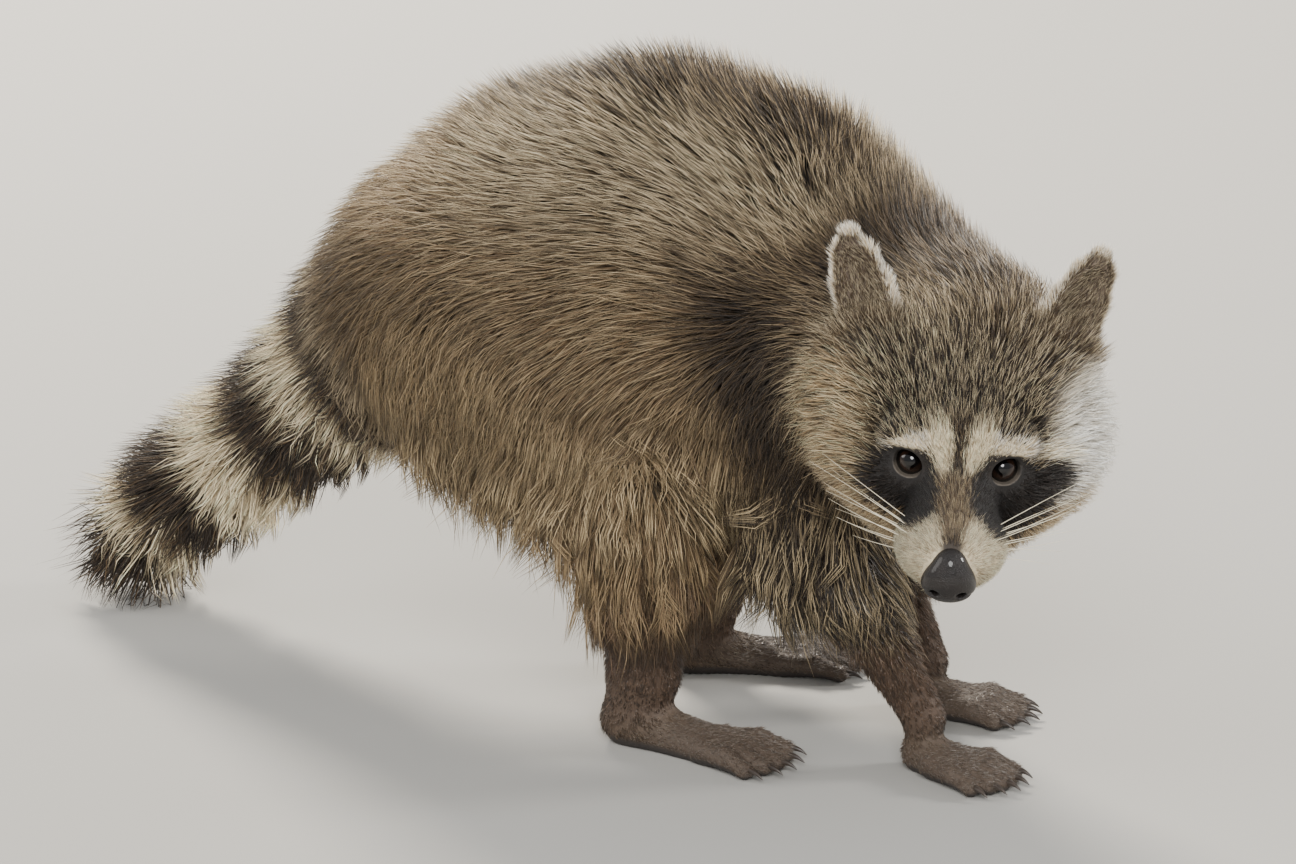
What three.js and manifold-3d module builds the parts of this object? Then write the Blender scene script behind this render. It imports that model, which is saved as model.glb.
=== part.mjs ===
// A life-size raccoon, Procyon lotor, walking with its head low and turned to its right.
// Every solid reaches out to the tips of the coat. Millimetres, +X the way the body
// faces, +Y its left, +Z up, with the floor at Z = 0.
import * as THREE from "three";
import { mergeVertices } from "three/addons/utils/BufferGeometryUtils.js";
import Module from "manifold-3d";

const wasm = await Module();
wasm.setup();

// ---------------------------------------------------------------- driving dimensions
const GAP = 0.4; // parting between neighbouring pieces
const REACH = 1200; // larger than the animal
// The facets of each solid are about this long.
const CELL = { trunk: 23, neck: 18, leg: 15.4, tail: 18.5, head: 10.7, ear: 6.2, nose: 4.6 };
const CHAIN_BLEND = 4; // how softly the lengths of a chain run into each other,
const FLESH_BLEND = 9; // and the chains themselves
const HEAD_BLEND = 3.5;
const PAW_BLEND = 3;
const EAR_BLEND = 2.5;

const EYES = new THREE.Vector3(199, -80, 176); // point midway between the eyes
const HEAD_YAW = -61; // degrees from +X, to the right
const HEAD_PITCH = 12; // degrees, muzzle down
const HEAD_ROLL = 4.5; // degrees, crown towards its own left
const EYE_SPREAD = 20; // from the middle line to an eye's centre
const EYE_RADIUS = 7.6;
const EYE_BACK = 3.2; // an eye's centre lies this far behind the eye line
const SOCKET = { radius: 11, at: (s) => [8, s * 23, -1] }; // the hollow in front of an eye
const TOE_COUNT = 5;
const SINK = 3; // what a sole and the tail's tip lose to the floor, as a flat

const RIGHT = -1;
const LEFT = 1;

// ---------------------------------------------------------------- fields
// A field is a function of a point that is negative inside a form and positive outside.
const V = (x, y, z) => new THREE.Vector3(x, y, z);

// A tapering length with an oval section. The radii are [across, up], and `side`
// is the direction that "across" runs in.
function limb(a, b, ra, rb, side = V(0, 1, 0)) {
  const axis = b.clone().sub(a);
  const length = Math.max(axis.length(), 1e-3);
  axis.divideScalar(length);
  const across = side.clone().addScaledVector(axis, -side.dot(axis)).normalize();
  const up = axis.clone().cross(across);
  const q = V(0, 0, 0);
  return (p) => {
    q.copy(p).sub(a);
    const along = q.dot(axis);
    const t = Math.min(Math.max(along / length, 0), 1);
    const w = ra[0] + (rb[0] - ra[0]) * t;
    const h = ra[1] + (rb[1] - ra[1]) * t;
    const e = (w + h) / 2;
    const x = q.dot(across);
    const y = q.dot(up);
    const z = along - t * length;
    const reach = Math.hypot(x / w, y / h, z / e);
    const steep = Math.hypot(x / w ** 2, y / h ** 2, z / e ** 2);
    return steep < 1e-9 ? -Math.min(w, h) : (reach * (reach - 1)) / steep;
  };
}

// An ovoid about `centre`, with a radius along each of three square directions.
function ovoid(centre, radii, frame) {
  const q = V(0, 0, 0);
  return (p) => {
    q.copy(p).sub(centre);
    const x = q.dot(frame[0]);
    const y = q.dot(frame[1]);
    const z = q.dot(frame[2]);
    const reach = Math.hypot(x / radii[0], y / radii[1], z / radii[2]);
    const steep = Math.hypot(x / radii[0] ** 2, y / radii[1] ** 2, z / radii[2] ** 2);
    return steep < 1e-9 ? -Math.min(...radii) : (reach * (reach - 1)) / steep;
  };
}

// Forms that flow into each other.
const blend = (softness, ...forms) => (p) => {
  let sum = 0;
  for (const form of forms) sum += Math.exp(-form(p) / softness);
  return -softness * Math.log(sum);
};
const grown = (form, by) => (p) => form(p) - by;
const without = (form, cut) => (p) => Math.max(form(p), -cut(p));

// A chain of limbs through stations [point, half width, half height].
const chain = (stations) =>
  blend(
    CHAIN_BLEND,
    ...stations.slice(1).map(([b, wb, hb], i) => {
      const [a, wa, ha] = stations[i];
      return limb(a, b, [wa, ha], [wb, hb]);
    }),
  );

// ---------------------------------------------------------------- field to solid
// Surface nets: one vertex in each grid cell that the surface crosses, pulled onto the
// surface, and one quad round each grid edge that it crosses.
function solidOf(form, low, high, cell) {
  const n = ["x", "y", "z"].map((k) => Math.ceil((high[k] - low[k]) / cell) + 1);
  const at = (i, j, k) => (k * n[1] + j) * n[0] + i;
  const point = (i, j, k) => V(low.x + i * cell, low.y + j * cell, low.z + k * cell);
  const value = new Float64Array(n[0] * n[1] * n[2]);
  const rim = (i, top) => i === 0 || i === top - 1;
  for (let k = 0; k < n[2]; k++)
    for (let j = 0; j < n[1]; j++)
      for (let i = 0; i < n[0]; i++) {
        const d = form(point(i, j, k));
        value[at(i, j, k)] = rim(i, n[0]) || rim(j, n[1]) || rim(k, n[2]) ? Math.max(d, cell / 2) : d;
      }
  partCorners(value, n, at);
  const vertexOf = new Map();
  const positions = [];
  for (let k = 0; k < n[2] - 1; k++)
    for (let j = 0; j < n[1] - 1; j++)
      for (let i = 0; i < n[0] - 1; i++) {
        const v = cellVertex(value, at, i, j, k);
        if (!v) continue;
        const p = V(i, j, k).add(v).multiplyScalar(cell).add(low);
        const inner = [i, j, k].every((c, axis) => c > 0 && c < n[axis] - 2);
        if (inner) pullOnto(form, p, cell);
        vertexOf.set(at(i, j, k), positions.length / 3);
        positions.push(p.x, p.y, p.z);
      }
  const faces = [];
  const steps = [[1, 0, 0], [0, 1, 0], [0, 0, 1]];
  for (let k = 0; k < n[2] - 1; k++)
    for (let j = 0; j < n[1] - 1; j++)
      for (let i = 0; i < n[0] - 1; i++)
        steps.forEach(([di, dj, dk], axis) => {
          if ([i, j, k].some((c, other) => c === 0 && other !== axis)) return;
          const here = value[at(i, j, k)] < 0;
          const there = value[at(i + di, j + dj, k + dk)] < 0;
          if (here === there) return;
          const u = steps[(axis + 1) % 3];
          const w = steps[(axis + 2) % 3];
          const ring = [[0, 0], [1, 0], [1, 1], [0, 1]].map(([s, t]) =>
            vertexOf.get(at(i - s * u[0] - t * w[0], j - s * u[1] - t * w[1], k - s * u[2] - t * w[2])),
          );
          if (!here) ring.reverse();
          faces.push(ring[0], ring[1], ring[2], ring[0], ring[2], ring[3]);
        });
  return new wasm.Manifold(
    new wasm.Mesh({
      numProp: 3,
      vertProperties: new Float32Array(positions),
      triVerts: new Uint32Array(faces),
    }),
  );
}

// Where two inside points of the grid meet only corner to corner, the shallower one is
// put outside, so that no edge of the surface is shared by four faces.
function partCorners(value, n, at) {
  const steps = [at(1, 0, 0), at(0, 1, 0), at(0, 0, 1)];
  for (let changed = true; changed; ) {
    changed = false;
    for (let k = 0; k < n[2] - 1; k++)
      for (let j = 0; j < n[1] - 1; j++)
        for (let i = 0; i < n[0] - 1; i++)
          steps.forEach((u, axis) => {
            const w = steps[(axis + 1) % 3];
            const a = at(i, j, k);
            const inside = [a, a + u + w, a + u, a + w].map((c) => value[c] < 0);
            if (inside[0] !== inside[1] || inside[2] !== inside[3] || inside[0] === inside[2]) return;
            const pair = inside[0] ? [a, a + u + w] : [a + u, a + w];
            value[value[pair[0]] > value[pair[1]] ? pair[0] : pair[1]] = 1e-3;
            changed = true;
          });
  }
}

// The mean of the places where the surface crosses a cell's edges, in cells.
function cellVertex(value, at, i, j, k) {
  const corner = [0, 1, 2, 3, 4, 5, 6, 7].map((c) => [c & 1, (c >> 1) & 1, c >> 2]);
  const d = corner.map(([x, y, z]) => value[at(i + x, j + y, k + z)]);
  const mean = V(0, 0, 0);
  let count = 0;
  for (let a = 0; a < 8; a++)
    for (const bit of [1, 2, 4]) {
      const b = a | bit;
      if (b === a || d[a] < 0 === d[b] < 0) continue;
      const t = d[a] / (d[a] - d[b]);
      mean.add(V(...corner[a]).lerp(V(...corner[b]), t));
      count++;
    }
  return count ? mean.divideScalar(count) : null;
}

// Moves a point onto the surface along the slope, never further than half a cell.
function pullOnto(form, p, cell) {
  const step = cell / 20;
  for (let turn = 0; turn < 3; turn++) {
    const d = form(p);
    const slope = V(
      form(V(p.x + step, p.y, p.z)) - form(V(p.x - step, p.y, p.z)),
      form(V(p.x, p.y + step, p.z)) - form(V(p.x, p.y - step, p.z)),
      form(V(p.x, p.y, p.z + step)) - form(V(p.x, p.y, p.z - step)),
    ).divideScalar(2 * step);
    const steep = slope.lengthSq();
    if (steep < 0.05) return;
    p.addScaledVector(slope, THREE.MathUtils.clamp(-d / steep, -cell / 4, cell / 4));
  }
}

// A three.js geometry as a solid.
function solidFrom(geometry, matrix = new THREE.Matrix4()) {
  const bare = geometry.clone().applyMatrix4(matrix);
  bare.deleteAttribute("normal");
  bare.deleteAttribute("uv");
  const merged = mergeVertices(bare, 1e-4);
  return new wasm.Manifold(
    new wasm.Mesh({
      numProp: 3,
      vertProperties: merged.attributes.position.array,
      triVerts: new Uint32Array(merged.index.array),
    }),
  );
}

// A plane is [a point on it, the way to the outer piece]. `beyond` fills its outer side
// and `before` its inner side, and GAP is left between them.
function beyond([on, towards], inset = GAP / 2) {
  const z = towards.clone().normalize();
  const turn = new THREE.Quaternion().setFromUnitVectors(V(0, 0, 1), z);
  return solidFrom(
    new THREE.BoxGeometry(REACH, REACH, REACH),
    new THREE.Matrix4().compose(on.clone().addScaledVector(z, REACH / 2 + inset), turn, V(1, 1, 1)),
  );
}
const before = ([on, towards]) => beyond([on, towards.clone().negate()]);
// The room within several planes, as the piece in it takes, or as its neighbours leave.
const room = (planes) => planes.map((plane) => beyond(plane)).reduce((a, b) => a.intersect(b));
const roomAndGap = (planes) =>
  planes.map((plane) => beyond(plane, -GAP / 2)).reduce((a, b) => a.intersect(b));

// ---------------------------------------------------------------- the head's own frame
const rad = THREE.MathUtils.degToRad;
const headTurn = new THREE.Matrix4()
  .makeRotationZ(rad(HEAD_YAW))
  .multiply(new THREE.Matrix4().makeRotationY(rad(HEAD_PITCH)))
  .multiply(new THREE.Matrix4().makeRotationX(rad(-HEAD_ROLL)));
const headAxes = [V(), V(), V()];
headTurn.extractBasis(...headAxes);
const inHead = (forward, left, up) => V(forward, left, up).applyMatrix4(headTurn).add(EYES);
const headOvoid = (place, radii) => ovoid(inHead(...place), radii, headAxes);
const headLimb = (a, b, ra, rb) => limb(inHead(...a), inHead(...b), ra, rb, headAxes[1]);
const bothSides = (make) => [RIGHT, LEFT].map(make);

// ---------------------------------------------------------------- the body's forms
// Stations are [centre, half width, half height].
const SPINE = [
  [V(-120, -3, 190), 56, 60],
  [V(-66, -2, 217), 70, 78],
  [V(-6, 1, 227), 76, 91],
  [V(44, 7, 219), 70, 91],
  [V(80, 12, 200), 57, 78],
];
const NECK = [
  [V(98, 10, 196), 50, 60],
  [V(138, -8, 202), 50, 50],
  [V(182, -28, 210), 46, 48],
];
const TAIL = [
  [V(-128, -2, 190), 44, 50],
  [V(-160, -2, 156), 42, 46],
  [V(-206, -2, 112), 38, 40],
  [V(-248, -2, 78), 37, 37],
  [V(-284, -2, 52), 34, 34],
  [V(-308, -2, 28 - SINK), 27, 34],
];
const HIND = {
  [RIGHT]: {
    hip: V(-76, -42, 172), knee: V(16, -58, 122), shin: V(19, -50, 84),
    hock: V(15, -46, 36), heel: V(8, -45, 13), toeDirection: 0,
  },
  [LEFT]: {
    hip: V(-80, 42, 172), knee: V(2, 62, 118), shin: V(-2, 57, 80),
    hock: V(-14, 54, 36), heel: V(-22, 53, 13), toeDirection: 30,
  },
};
const FORE = {
  [RIGHT]: {
    shoulder: V(92, -30, 176), elbow: V(90, -24, 112), wrist: V(141, -7, 26), toeDirection: -8,
  },
  [LEFT]: {
    shoulder: V(88, 50, 172), elbow: V(62, 58, 104), wrist: V(102, 62, 26), toeDirection: 10,
  },
};
const hindForm = (leg) =>
  blend(
    CHAIN_BLEND,
    limb(leg.hip, leg.knee, [42, 56], [28, 33]),
    limb(leg.knee, leg.shin, [28, 32], [22, 25]),
    limb(leg.shin, leg.hock, [22, 25], [16, 19]),
    limb(leg.hock, leg.heel, [16, 19], [13, 14]),
  );
const foreForm = (leg) =>
  blend(
    CHAIN_BLEND,
    limb(leg.shoulder, leg.elbow, [36, 46], [24, 27]),
    limb(leg.elbow, leg.wrist, [24, 26], [12, 13]),
  );

// A paw lies along the floor from its heel, turned from +X by an angle.
function pawFrame(root, turned) {
  const ahead = V(Math.cos(rad(turned)), Math.sin(rad(turned)), 0);
  const across = V(-ahead.y, ahead.x, 0);
  const spot = (f, l, u) =>
    V(root.x, root.y, 0).addScaledVector(ahead, f).addScaledVector(across, l).setZ(u);
  return { ahead, across, spot };
}
const PAWS = {
  hind: { palm: 52, width: 15, height: 13, toe: 25 },
  fore: { palm: 20, width: 13, height: 11, toe: 25 },
};
const soleForm = ({ across, spot }, { palm, width, height }) =>
  limb(spot(0, 0, height - SINK), spot(palm, 0, 8 - SINK), [width * 0.8, height], [width, 10], across);

const headForms = [
  headOvoid([-44, 0, 9], [50, 50, 43]), // cranium
  headOvoid([-18, 0, 12], [32, 36, 26]), // forehead
  ...bothSides((s) => headOvoid([-42, s * 40, -1], [32, 31, 34])), // cheek ruffs
  ...bothSides((s) => headOvoid([-46, s * 34, 22], [26, 25, 24])), // temples
  ...bothSides((s) => headOvoid([-20, s * 28, -14], [28, 26, 24])), // cheeks
  headOvoid([-34, 0, -26], [42, 34, 24]), // jaw and throat
  headLimb([-4, 0, -8], [38, 0, -24], [20, 22], [18, 14]), // muzzle
  ...bothSides((s) => headOvoid([28, s * 11, -25], [18, 14, 13])), // whisker pads
  headLimb([4, 0, 5], [44, 0, -17], [11, 9], [8, 7]), // bridge of the nose
  headLimb([6, 0, -30], [36, 0, -36], [19, 10], [10, 8]), // chin
];
const headForm = blend(HEAD_BLEND, ...headForms);
const eyeAt = (s) => inHead(-EYE_BACK, s * EYE_SPREAD, 0);
const noseForm = blend(
  2,
  headOvoid([50, 0, -25], [9, 11, 9.5]),
  headOvoid([46, 0, -18], [8, 7.5, 6]),
);

// An ear is a rounded leaf, hollowed on the side that faces forward and out.
const EAR = { root: (s) => inHead(-48, s * 41, 38), tip: (s) => inHead(-50, s * 56, 85) };
function earForm(s) {
  const root = EAR.root(s);
  const tip = EAR.tip(s);
  const up = tip.clone().sub(root).normalize();
  const facing = headAxes[0].clone().addScaledVector(headAxes[1], s * 0.35);
  facing.addScaledVector(up, -facing.dot(up)).normalize();
  const wide = up.clone().cross(facing).normalize();
  const shell = limb(root, root.clone().lerp(tip, 0.8), [17, 10], [11, 8], wide);
  const hollow = root.clone().lerp(tip, 0.5).addScaledVector(facing, 11);
  return without(shell, ovoid(hollow, [10, 20, 8], [wide, up, facing]));
}

const torso = [chain(SPINE), chain(NECK), chain(TAIL)];
const legForm = { hind: (s) => hindForm(HIND[s]), fore: (s) => foreForm(FORE[s]) };
const body = blend(FLESH_BLEND, ...torso, ...bothSides(legForm.hind), ...bothSides(legForm.fore));
const animal = blend(HEAD_BLEND, body, headForm);
const withEars = blend(EAR_BLEND, animal, ...bothSides(earForm));

// ---------------------------------------------------------------- materials
const finish = (colour, roughness) =>
  new THREE.MeshStandardMaterial({ color: colour, roughness, metalness: 0 });
const MATERIALS = {
  coat: finish(0x7d6a50, 0.9),
  face: finish(0x8a775c, 0.9),
  ear: finish(0xb6a88f, 0.9),
  tail: finish(0x6e5b45, 0.9),
  leg: finish(0x4f4238, 0.9),
  paw: finish(0x4c4440, 0.7),
  nose: finish(0x1c1a1a, 0.35),
  eye: finish(0x0b0908, 0.05),
};

// ---------------------------------------------------------------- pieces
const raccoon = new THREE.Group();
function add(name, solid, material) {
  const made = solid.getMesh();
  const geometry = new THREE.BufferGeometry();
  geometry.setAttribute("position", new THREE.BufferAttribute(made.vertProperties, 3));
  geometry.setIndex(new THREE.BufferAttribute(made.triVerts, 1));
  geometry.computeVertexNormals();
  const mesh = new THREE.Mesh(geometry, MATERIALS[material]);
  mesh.name = name;
  raccoon.add(mesh);
}
const sideName = (s) => (s === LEFT ? "left" : "right");
const FLOOR = [V(0, 0, -GAP / 2), V(0, 0, 1)];
const HEAD_PLANE = [inHead(-57, 0, 0), headAxes[0].clone().addScaledVector(headAxes[2], 0.15)];
const THROAT_PLANE = [inHead(-57, 0, -51), headAxes[0].clone().multiplyScalar(0.3).setZ(1)];
const headPlanes = [HEAD_PLANE, THROAT_PLANE];
const NECK_PLANE = [V(120, -6, 206), V(0.86, -0.48, 0.15)];
const TAIL_PLANES = [
  [V(-152, -2, 178), V(-0.9, 0, -0.44)],
  [V(-206, -2, 122), V(-0.72, 0, -0.69)],
  [V(-262, -2, 72), V(-0.78, 0, -0.62)],
];

// The room of one leg: below its top, on its own side of the middle, and behind or ahead
// of the plane between hind leg and foreleg.
const MIDDLE = { hind: -8, fore: 16 };
const BETWEEN = { [RIGHT]: { x: 114, lean: 0.48 }, [LEFT]: { x: 73, lean: 0.36 } };
const LEG_TOP = {
  hind: (s) => [V(0, s * 60, 134), V(0.16, s * 0.3, -1)],
  fore: (s) => [V(95, s * 45, 126), V(0.05, s * 0.3, -1)],
};
function legRoom(which, s) {
  const onward = which === "fore" ? 1 : -1;
  return [
    LEG_TOP[which](s),
    [V(0, MIDDLE[which], 0), V(0, s, 0)],
    [V(BETWEEN[s].x, 0, 0), V(onward, 0, onward * BETWEEN[s].lean)],
  ];
}
const legs = ["hind", "fore"].flatMap((which) => bothSides((s) => [which, s]));

// Where a leg's upper part ends at the knee or elbow, and its lower part at the paw.
const LEG_CUTS = {
  hind: (leg) => [
    [leg.knee.clone().lerp(leg.shin, 0.75), leg.hock.clone().sub(leg.knee)],
    [leg.hock.clone().add(V(0, 0, 2)), V(0.15, 0, -1)],
  ],
  fore: (leg) => [
    [leg.elbow.clone().lerp(leg.wrist, 0.28), leg.wrist.clone().sub(leg.elbow)],
    [leg.elbow.clone().lerp(leg.wrist, 0.93), V(0.35, 0, -1)],
  ],
};
function addLeg(which, s) {
  const leg = which === "hind" ? HIND[s] : FORE[s];
  const root = which === "hind" ? leg.heel : leg.wrist;
  const frame = pawFrame(root, leg.toeDirection);
  const limbs = blend(FLESH_BLEND, ...torso, legForm[which](s));
  const form = blend(PAW_BLEND, limbs, soleForm(frame, PAWS[which]));
  const low = V(root.x - 115, Math.min(root.y, s * 110), -14);
  const high = V(root.x + 90, Math.max(root.y, s * 110), 165);
  if (s === RIGHT) high.y = 40;
  else low.y = -30;
  const inRoom = room([...legRoom(which, s), FLOOR]);
  const whole = solidOf(form, low, high, CELL.leg).intersect(inRoom).subtract(roomAndGap(headPlanes));
  const [knee, ankle] = LEG_CUTS[which](leg);
  const name = (part) => `${which}leg_${sideName(s)}_${part}`;
  add(name("upper"), whole.intersect(before(knee)), "leg");
  add(name("lower"), whole.intersect(beyond(knee)).intersect(before(ankle)), "leg");
  const paw = whole.intersect(beyond(ankle));
  add(`${which}paw_${sideName(s)}`, withToes(paw, frame, PAWS[which]).intersect(beyond(FLOOR)), "paw");
}

// Adds five toes and their claws to a paw.
function withToes(paw, { ahead, spot }, { palm, width, toe }) {
  let made = paw;
  for (let i = 0; i < TOE_COUNT; i++) {
    const s = i / (TOE_COUNT - 1) - 0.5; // from one edge of the paw to the other
    const from = spot(palm - 6, s * 1.5 * width, 6);
    const tip = spot(palm + toe * (1 - s * s), s * 2.3 * width, 4);
    const along = tip.clone().sub(from);
    const turn = new THREE.Quaternion().setFromUnitVectors(V(0, 1, 0), along.clone().normalize());
    const toeShape = new THREE.CapsuleGeometry(4.8, along.length(), 1, 6);
    const middle = from.clone().lerp(tip, 0.5);
    made = made.add(solidFrom(toeShape, new THREE.Matrix4().compose(middle, turn, V(1, 1, 1))));
    const claw = new THREE.ConeGeometry(2.2, 14, 4);
    const dip = new THREE.Quaternion().setFromUnitVectors(
      V(0, 1, 0), ahead.clone().setZ(-0.2).normalize());
    const root = tip.clone().addScaledVector(ahead, 7).setZ(4);
    made = made.add(solidFrom(claw, new THREE.Matrix4().compose(root, dip, V(1, 1, 1))));
  }
  return made;
}

// Trunk, neck and tail. What lies in a leg's room is left to that leg.
const legRooms = legs.map(([which, s]) => roomAndGap(legRoom(which, s)));
const clearOfLegs = (solid) => legRooms.reduce((left, taken) => left.subtract(taken), solid);
const trunk = solidOf(body, V(-190, -112, 60), V(180, 112, 350), CELL.trunk)
  .intersect(before(NECK_PLANE))
  .intersect(before(TAIL_PLANES[0]))
  .subtract(roomAndGap(headPlanes));
add("trunk", clearOfLegs(trunk), "coat");

const neck = solidOf(animal, V(80, -140, 84), V(250, 90, 300), CELL.neck)
  .intersect(beyond(NECK_PLANE))
  .subtract(roomAndGap(headPlanes));
add("neck", clearOfLegs(neck), "coat");

const tail = solidOf(body, V(-365, -60, -15), V(-120, 60, 260), CELL.tail).intersect(beyond(FLOOR));
["root", "middle", "tip"].forEach((part, i) => {
  const piece = tail.intersect(beyond(TAIL_PLANES[i]));
  add(`tail_${part}`, i < 2 ? piece.intersect(before(TAIL_PLANES[i + 1])) : piece, "tail");
});

for (const [which, s] of legs) addLeg(which, s);

// Head. An ear is parted across its root, clear of the crown and the nape.
const earRoom = (s) => [
  [inHead(-48, s * 41, 44), EAR.tip(s).sub(EAR.root(s))],
  [inHead(-48, s * 25, 44), headAxes[1].clone().multiplyScalar(s)],
  HEAD_PLANE,
];
const headLow = V(100, -190, 96);
const headHigh = V(300, 40, 300);
let head = solidOf(withEars, headLow, headHigh, CELL.head).intersect(room(headPlanes));
const ball = (centre, radius) =>
  solidFrom(new THREE.SphereGeometry(radius, 12, 8), new THREE.Matrix4().setPosition(centre));
for (const s of [RIGHT, LEFT]) {
  const socket = ball(eyeAt(s), EYE_RADIUS + GAP).add(ball(inHead(...SOCKET.at(s)), SOCKET.radius));
  head = head.subtract(socket).subtract(roomAndGap(earRoom(s)));
  add(`eye_${sideName(s)}`, ball(eyeAt(s), EYE_RADIUS), "eye");
  const around = EAR.root(s).lerp(EAR.tip(s), 0.6);
  const size = V(42, 42, 48);
  const ear = solidOf(withEars, around.clone().sub(size), around.clone().add(size), CELL.ear);
  add(`ear_${sideName(s)}`, ear.intersect(room(earRoom(s))), "ear");
}
const noseLow = inHead(46, 0, -22).sub(V(20, 20, 20));
const noseHigh = inHead(46, 0, -22).add(V(20, 20, 20));
add("nose", solidOf(noseForm, noseLow, noseHigh, CELL.nose), "nose");
head = head.subtract(solidOf(grown(noseForm, GAP * 1.5), noseLow, noseHigh, CELL.nose));
add("head", head, "face");

// The origin is the middle of the footprint's box, on the floor.
const box = new THREE.Box3().setFromObject(raccoon);
const centre = box.getCenter(V(0, 0, 0));
raccoon.position.set(-centre.x, -centre.y, -box.min.z);

export default raccoon;
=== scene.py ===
import math

import bpy
import numpy as np
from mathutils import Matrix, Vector, kdtree


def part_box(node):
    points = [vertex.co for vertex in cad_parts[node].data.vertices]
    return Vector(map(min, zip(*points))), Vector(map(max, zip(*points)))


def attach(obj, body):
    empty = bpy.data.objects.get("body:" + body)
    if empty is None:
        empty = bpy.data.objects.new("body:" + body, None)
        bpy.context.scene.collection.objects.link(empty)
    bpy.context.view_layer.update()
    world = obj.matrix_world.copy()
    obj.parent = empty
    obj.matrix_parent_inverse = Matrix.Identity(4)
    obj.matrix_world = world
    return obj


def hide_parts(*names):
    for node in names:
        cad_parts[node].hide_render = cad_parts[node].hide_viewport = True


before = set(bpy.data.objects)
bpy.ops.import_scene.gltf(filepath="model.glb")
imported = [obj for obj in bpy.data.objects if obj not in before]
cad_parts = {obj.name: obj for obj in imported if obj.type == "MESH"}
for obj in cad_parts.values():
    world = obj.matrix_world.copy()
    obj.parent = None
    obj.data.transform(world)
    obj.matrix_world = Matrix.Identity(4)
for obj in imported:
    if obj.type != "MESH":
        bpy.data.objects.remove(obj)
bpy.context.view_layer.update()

# ---------------------------------------------------------------- sizes, in millimetres
MM = 0.001
RIGHT, LEFT = BOTH = -1, 1
# How softly forms run into one another: lengths of limb, flesh, legs into the body, and the rest.
CHAIN_BLEND, FLESH_BLEND, LEG_BLEND = 4.0, 9.0, 20.0
HEAD_BLEND, PAW_BLEND, EAR_BLEND = 3.5, 4.5, 2.5
TOE_BLEND, LID_BLEND, LEAF_BLEND = 1.6, 1.4, 1.0
LID_EDGE, MOUTH_EDGE = 0.35, 0.5  # rounding of the edges of the lids and of the mouth
FACE_REACH = 60  # the lids and the mouth lie in a cube of this half side
SKIN_CELL = 3.0  # grid of the skin, which is made finer on the face, the ears and the paws
FUR_CELL = 5.0  # grid of the distances that lay the hair along the body
FLOOR_CLEAR = 0.35  # height of the lowest skin and hair over the floor
SINK = 3.0  # lowers the soles and the tail's tip, which the floor then cuts flat
MIDLINE = 2.0  # the side-to-side place of the back's ridge
SEED = 732

EYES = np.array((199.0, -80.0, 176.0))  # midway between the eyes
HEAD_YAW, HEAD_PITCH, HEAD_ROLL = -61.0, 12.0, 4.5
EYE_SPREAD, EYE_BACK = 20.0, 3.2
EYEBALL = 7.5
LID = 1.1  # thickness of the eyelids over the eyeball
LID_OPENING = (7.0, 6.5)  # half width and half height of the opening between the lids


def unit(v):
    v = np.asarray(v, float)
    return v / np.maximum(np.linalg.norm(v, axis=-1, keepdims=True), 1e-9)


def smooth(x, a, b):
    t = np.clip((x - a) / (b - a), 0, 1)
    return t * t * (3 - 2 * t)


def turn(axis, degrees):
    c, s = math.cos(math.radians(degrees)), math.sin(math.radians(degrees))
    i, j = [(1, 2), (2, 0), (0, 1)][axis]
    m = np.eye(3)
    m[i, i], m[i, j], m[j, i], m[j, j] = c, -s, s, c
    return m


HEAD = (turn(2, HEAD_YAW) @ turn(1, HEAD_PITCH) @ turn(0, -HEAD_ROLL)).T  # forward, left, up


def in_head(place):
    return np.asarray(place, float) @ HEAD + EYES


def to_head(points):
    return (points - EYES) @ HEAD.T


# The CAD's frame is set on the middle of its footprint. The eyes say how far that moved it.
eye_middle = np.mean([np.mean(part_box(f"eye_{side}")[:2], 0) for side in ("left", "right")], 0)
SHIFT = eye_middle / MM - in_head((-EYE_BACK, 0, 0))
SHIFT[2] = 0.0


def metres(points):
    return (np.asarray(points) + SHIFT) * MM


# ---------------------------------------------------------------- forms
# A form is a function of points that is negative inside it and positive outside.
def limb(a, b, ra, rb, side=(0, 1, 0)):
    """A tapering length with an oval section; the radii are (across, up)."""
    a, b = np.asarray(a, float), np.asarray(b, float)
    length = max(float(np.linalg.norm(b - a)), 1e-3)
    axis = (b - a) / length
    across = unit(np.asarray(side, float) - axis * np.dot(side, axis))
    base = np.stack([across, np.cross(axis, across), axis])

    def form(points):
        q = (points - a) @ base.T
        t = np.clip(q[:, 2] / length, 0, 1)
        w = ra[0] + (rb[0] - ra[0]) * t
        h = ra[1] + (rb[1] - ra[1]) * t
        e = (w + h) / 2
        q[:, 2] -= t * length
        return oval(q, np.stack([w, h, e], 1))

    return form


def oval(q, radii):
    s = q / radii
    reach = np.sqrt((s * s).sum(1))
    s /= radii
    steep = np.sqrt((s * s).sum(1))
    return np.where(steep < 1e-9, -np.min(radii), reach * (reach - 1) / np.maximum(steep, 1e-9))


def ovoid(centre, radii, base):
    centre, base = np.asarray(centre, float), np.asarray(base, float)
    return lambda points: oval((points - centre) @ base.T, np.asarray(radii, float)[None, :])


def blended(values, softness):
    """The least of the distances, with the forms run softly into one another."""
    low = np.min(values, 0)
    return low - softness * np.log(np.exp(-(values - low) / softness).sum(0))


def carved(values, cut, softness):
    """Takes a cut out of a form, with edges rounded by softness."""
    return -blended(np.stack([-values, cut]), softness)


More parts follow.
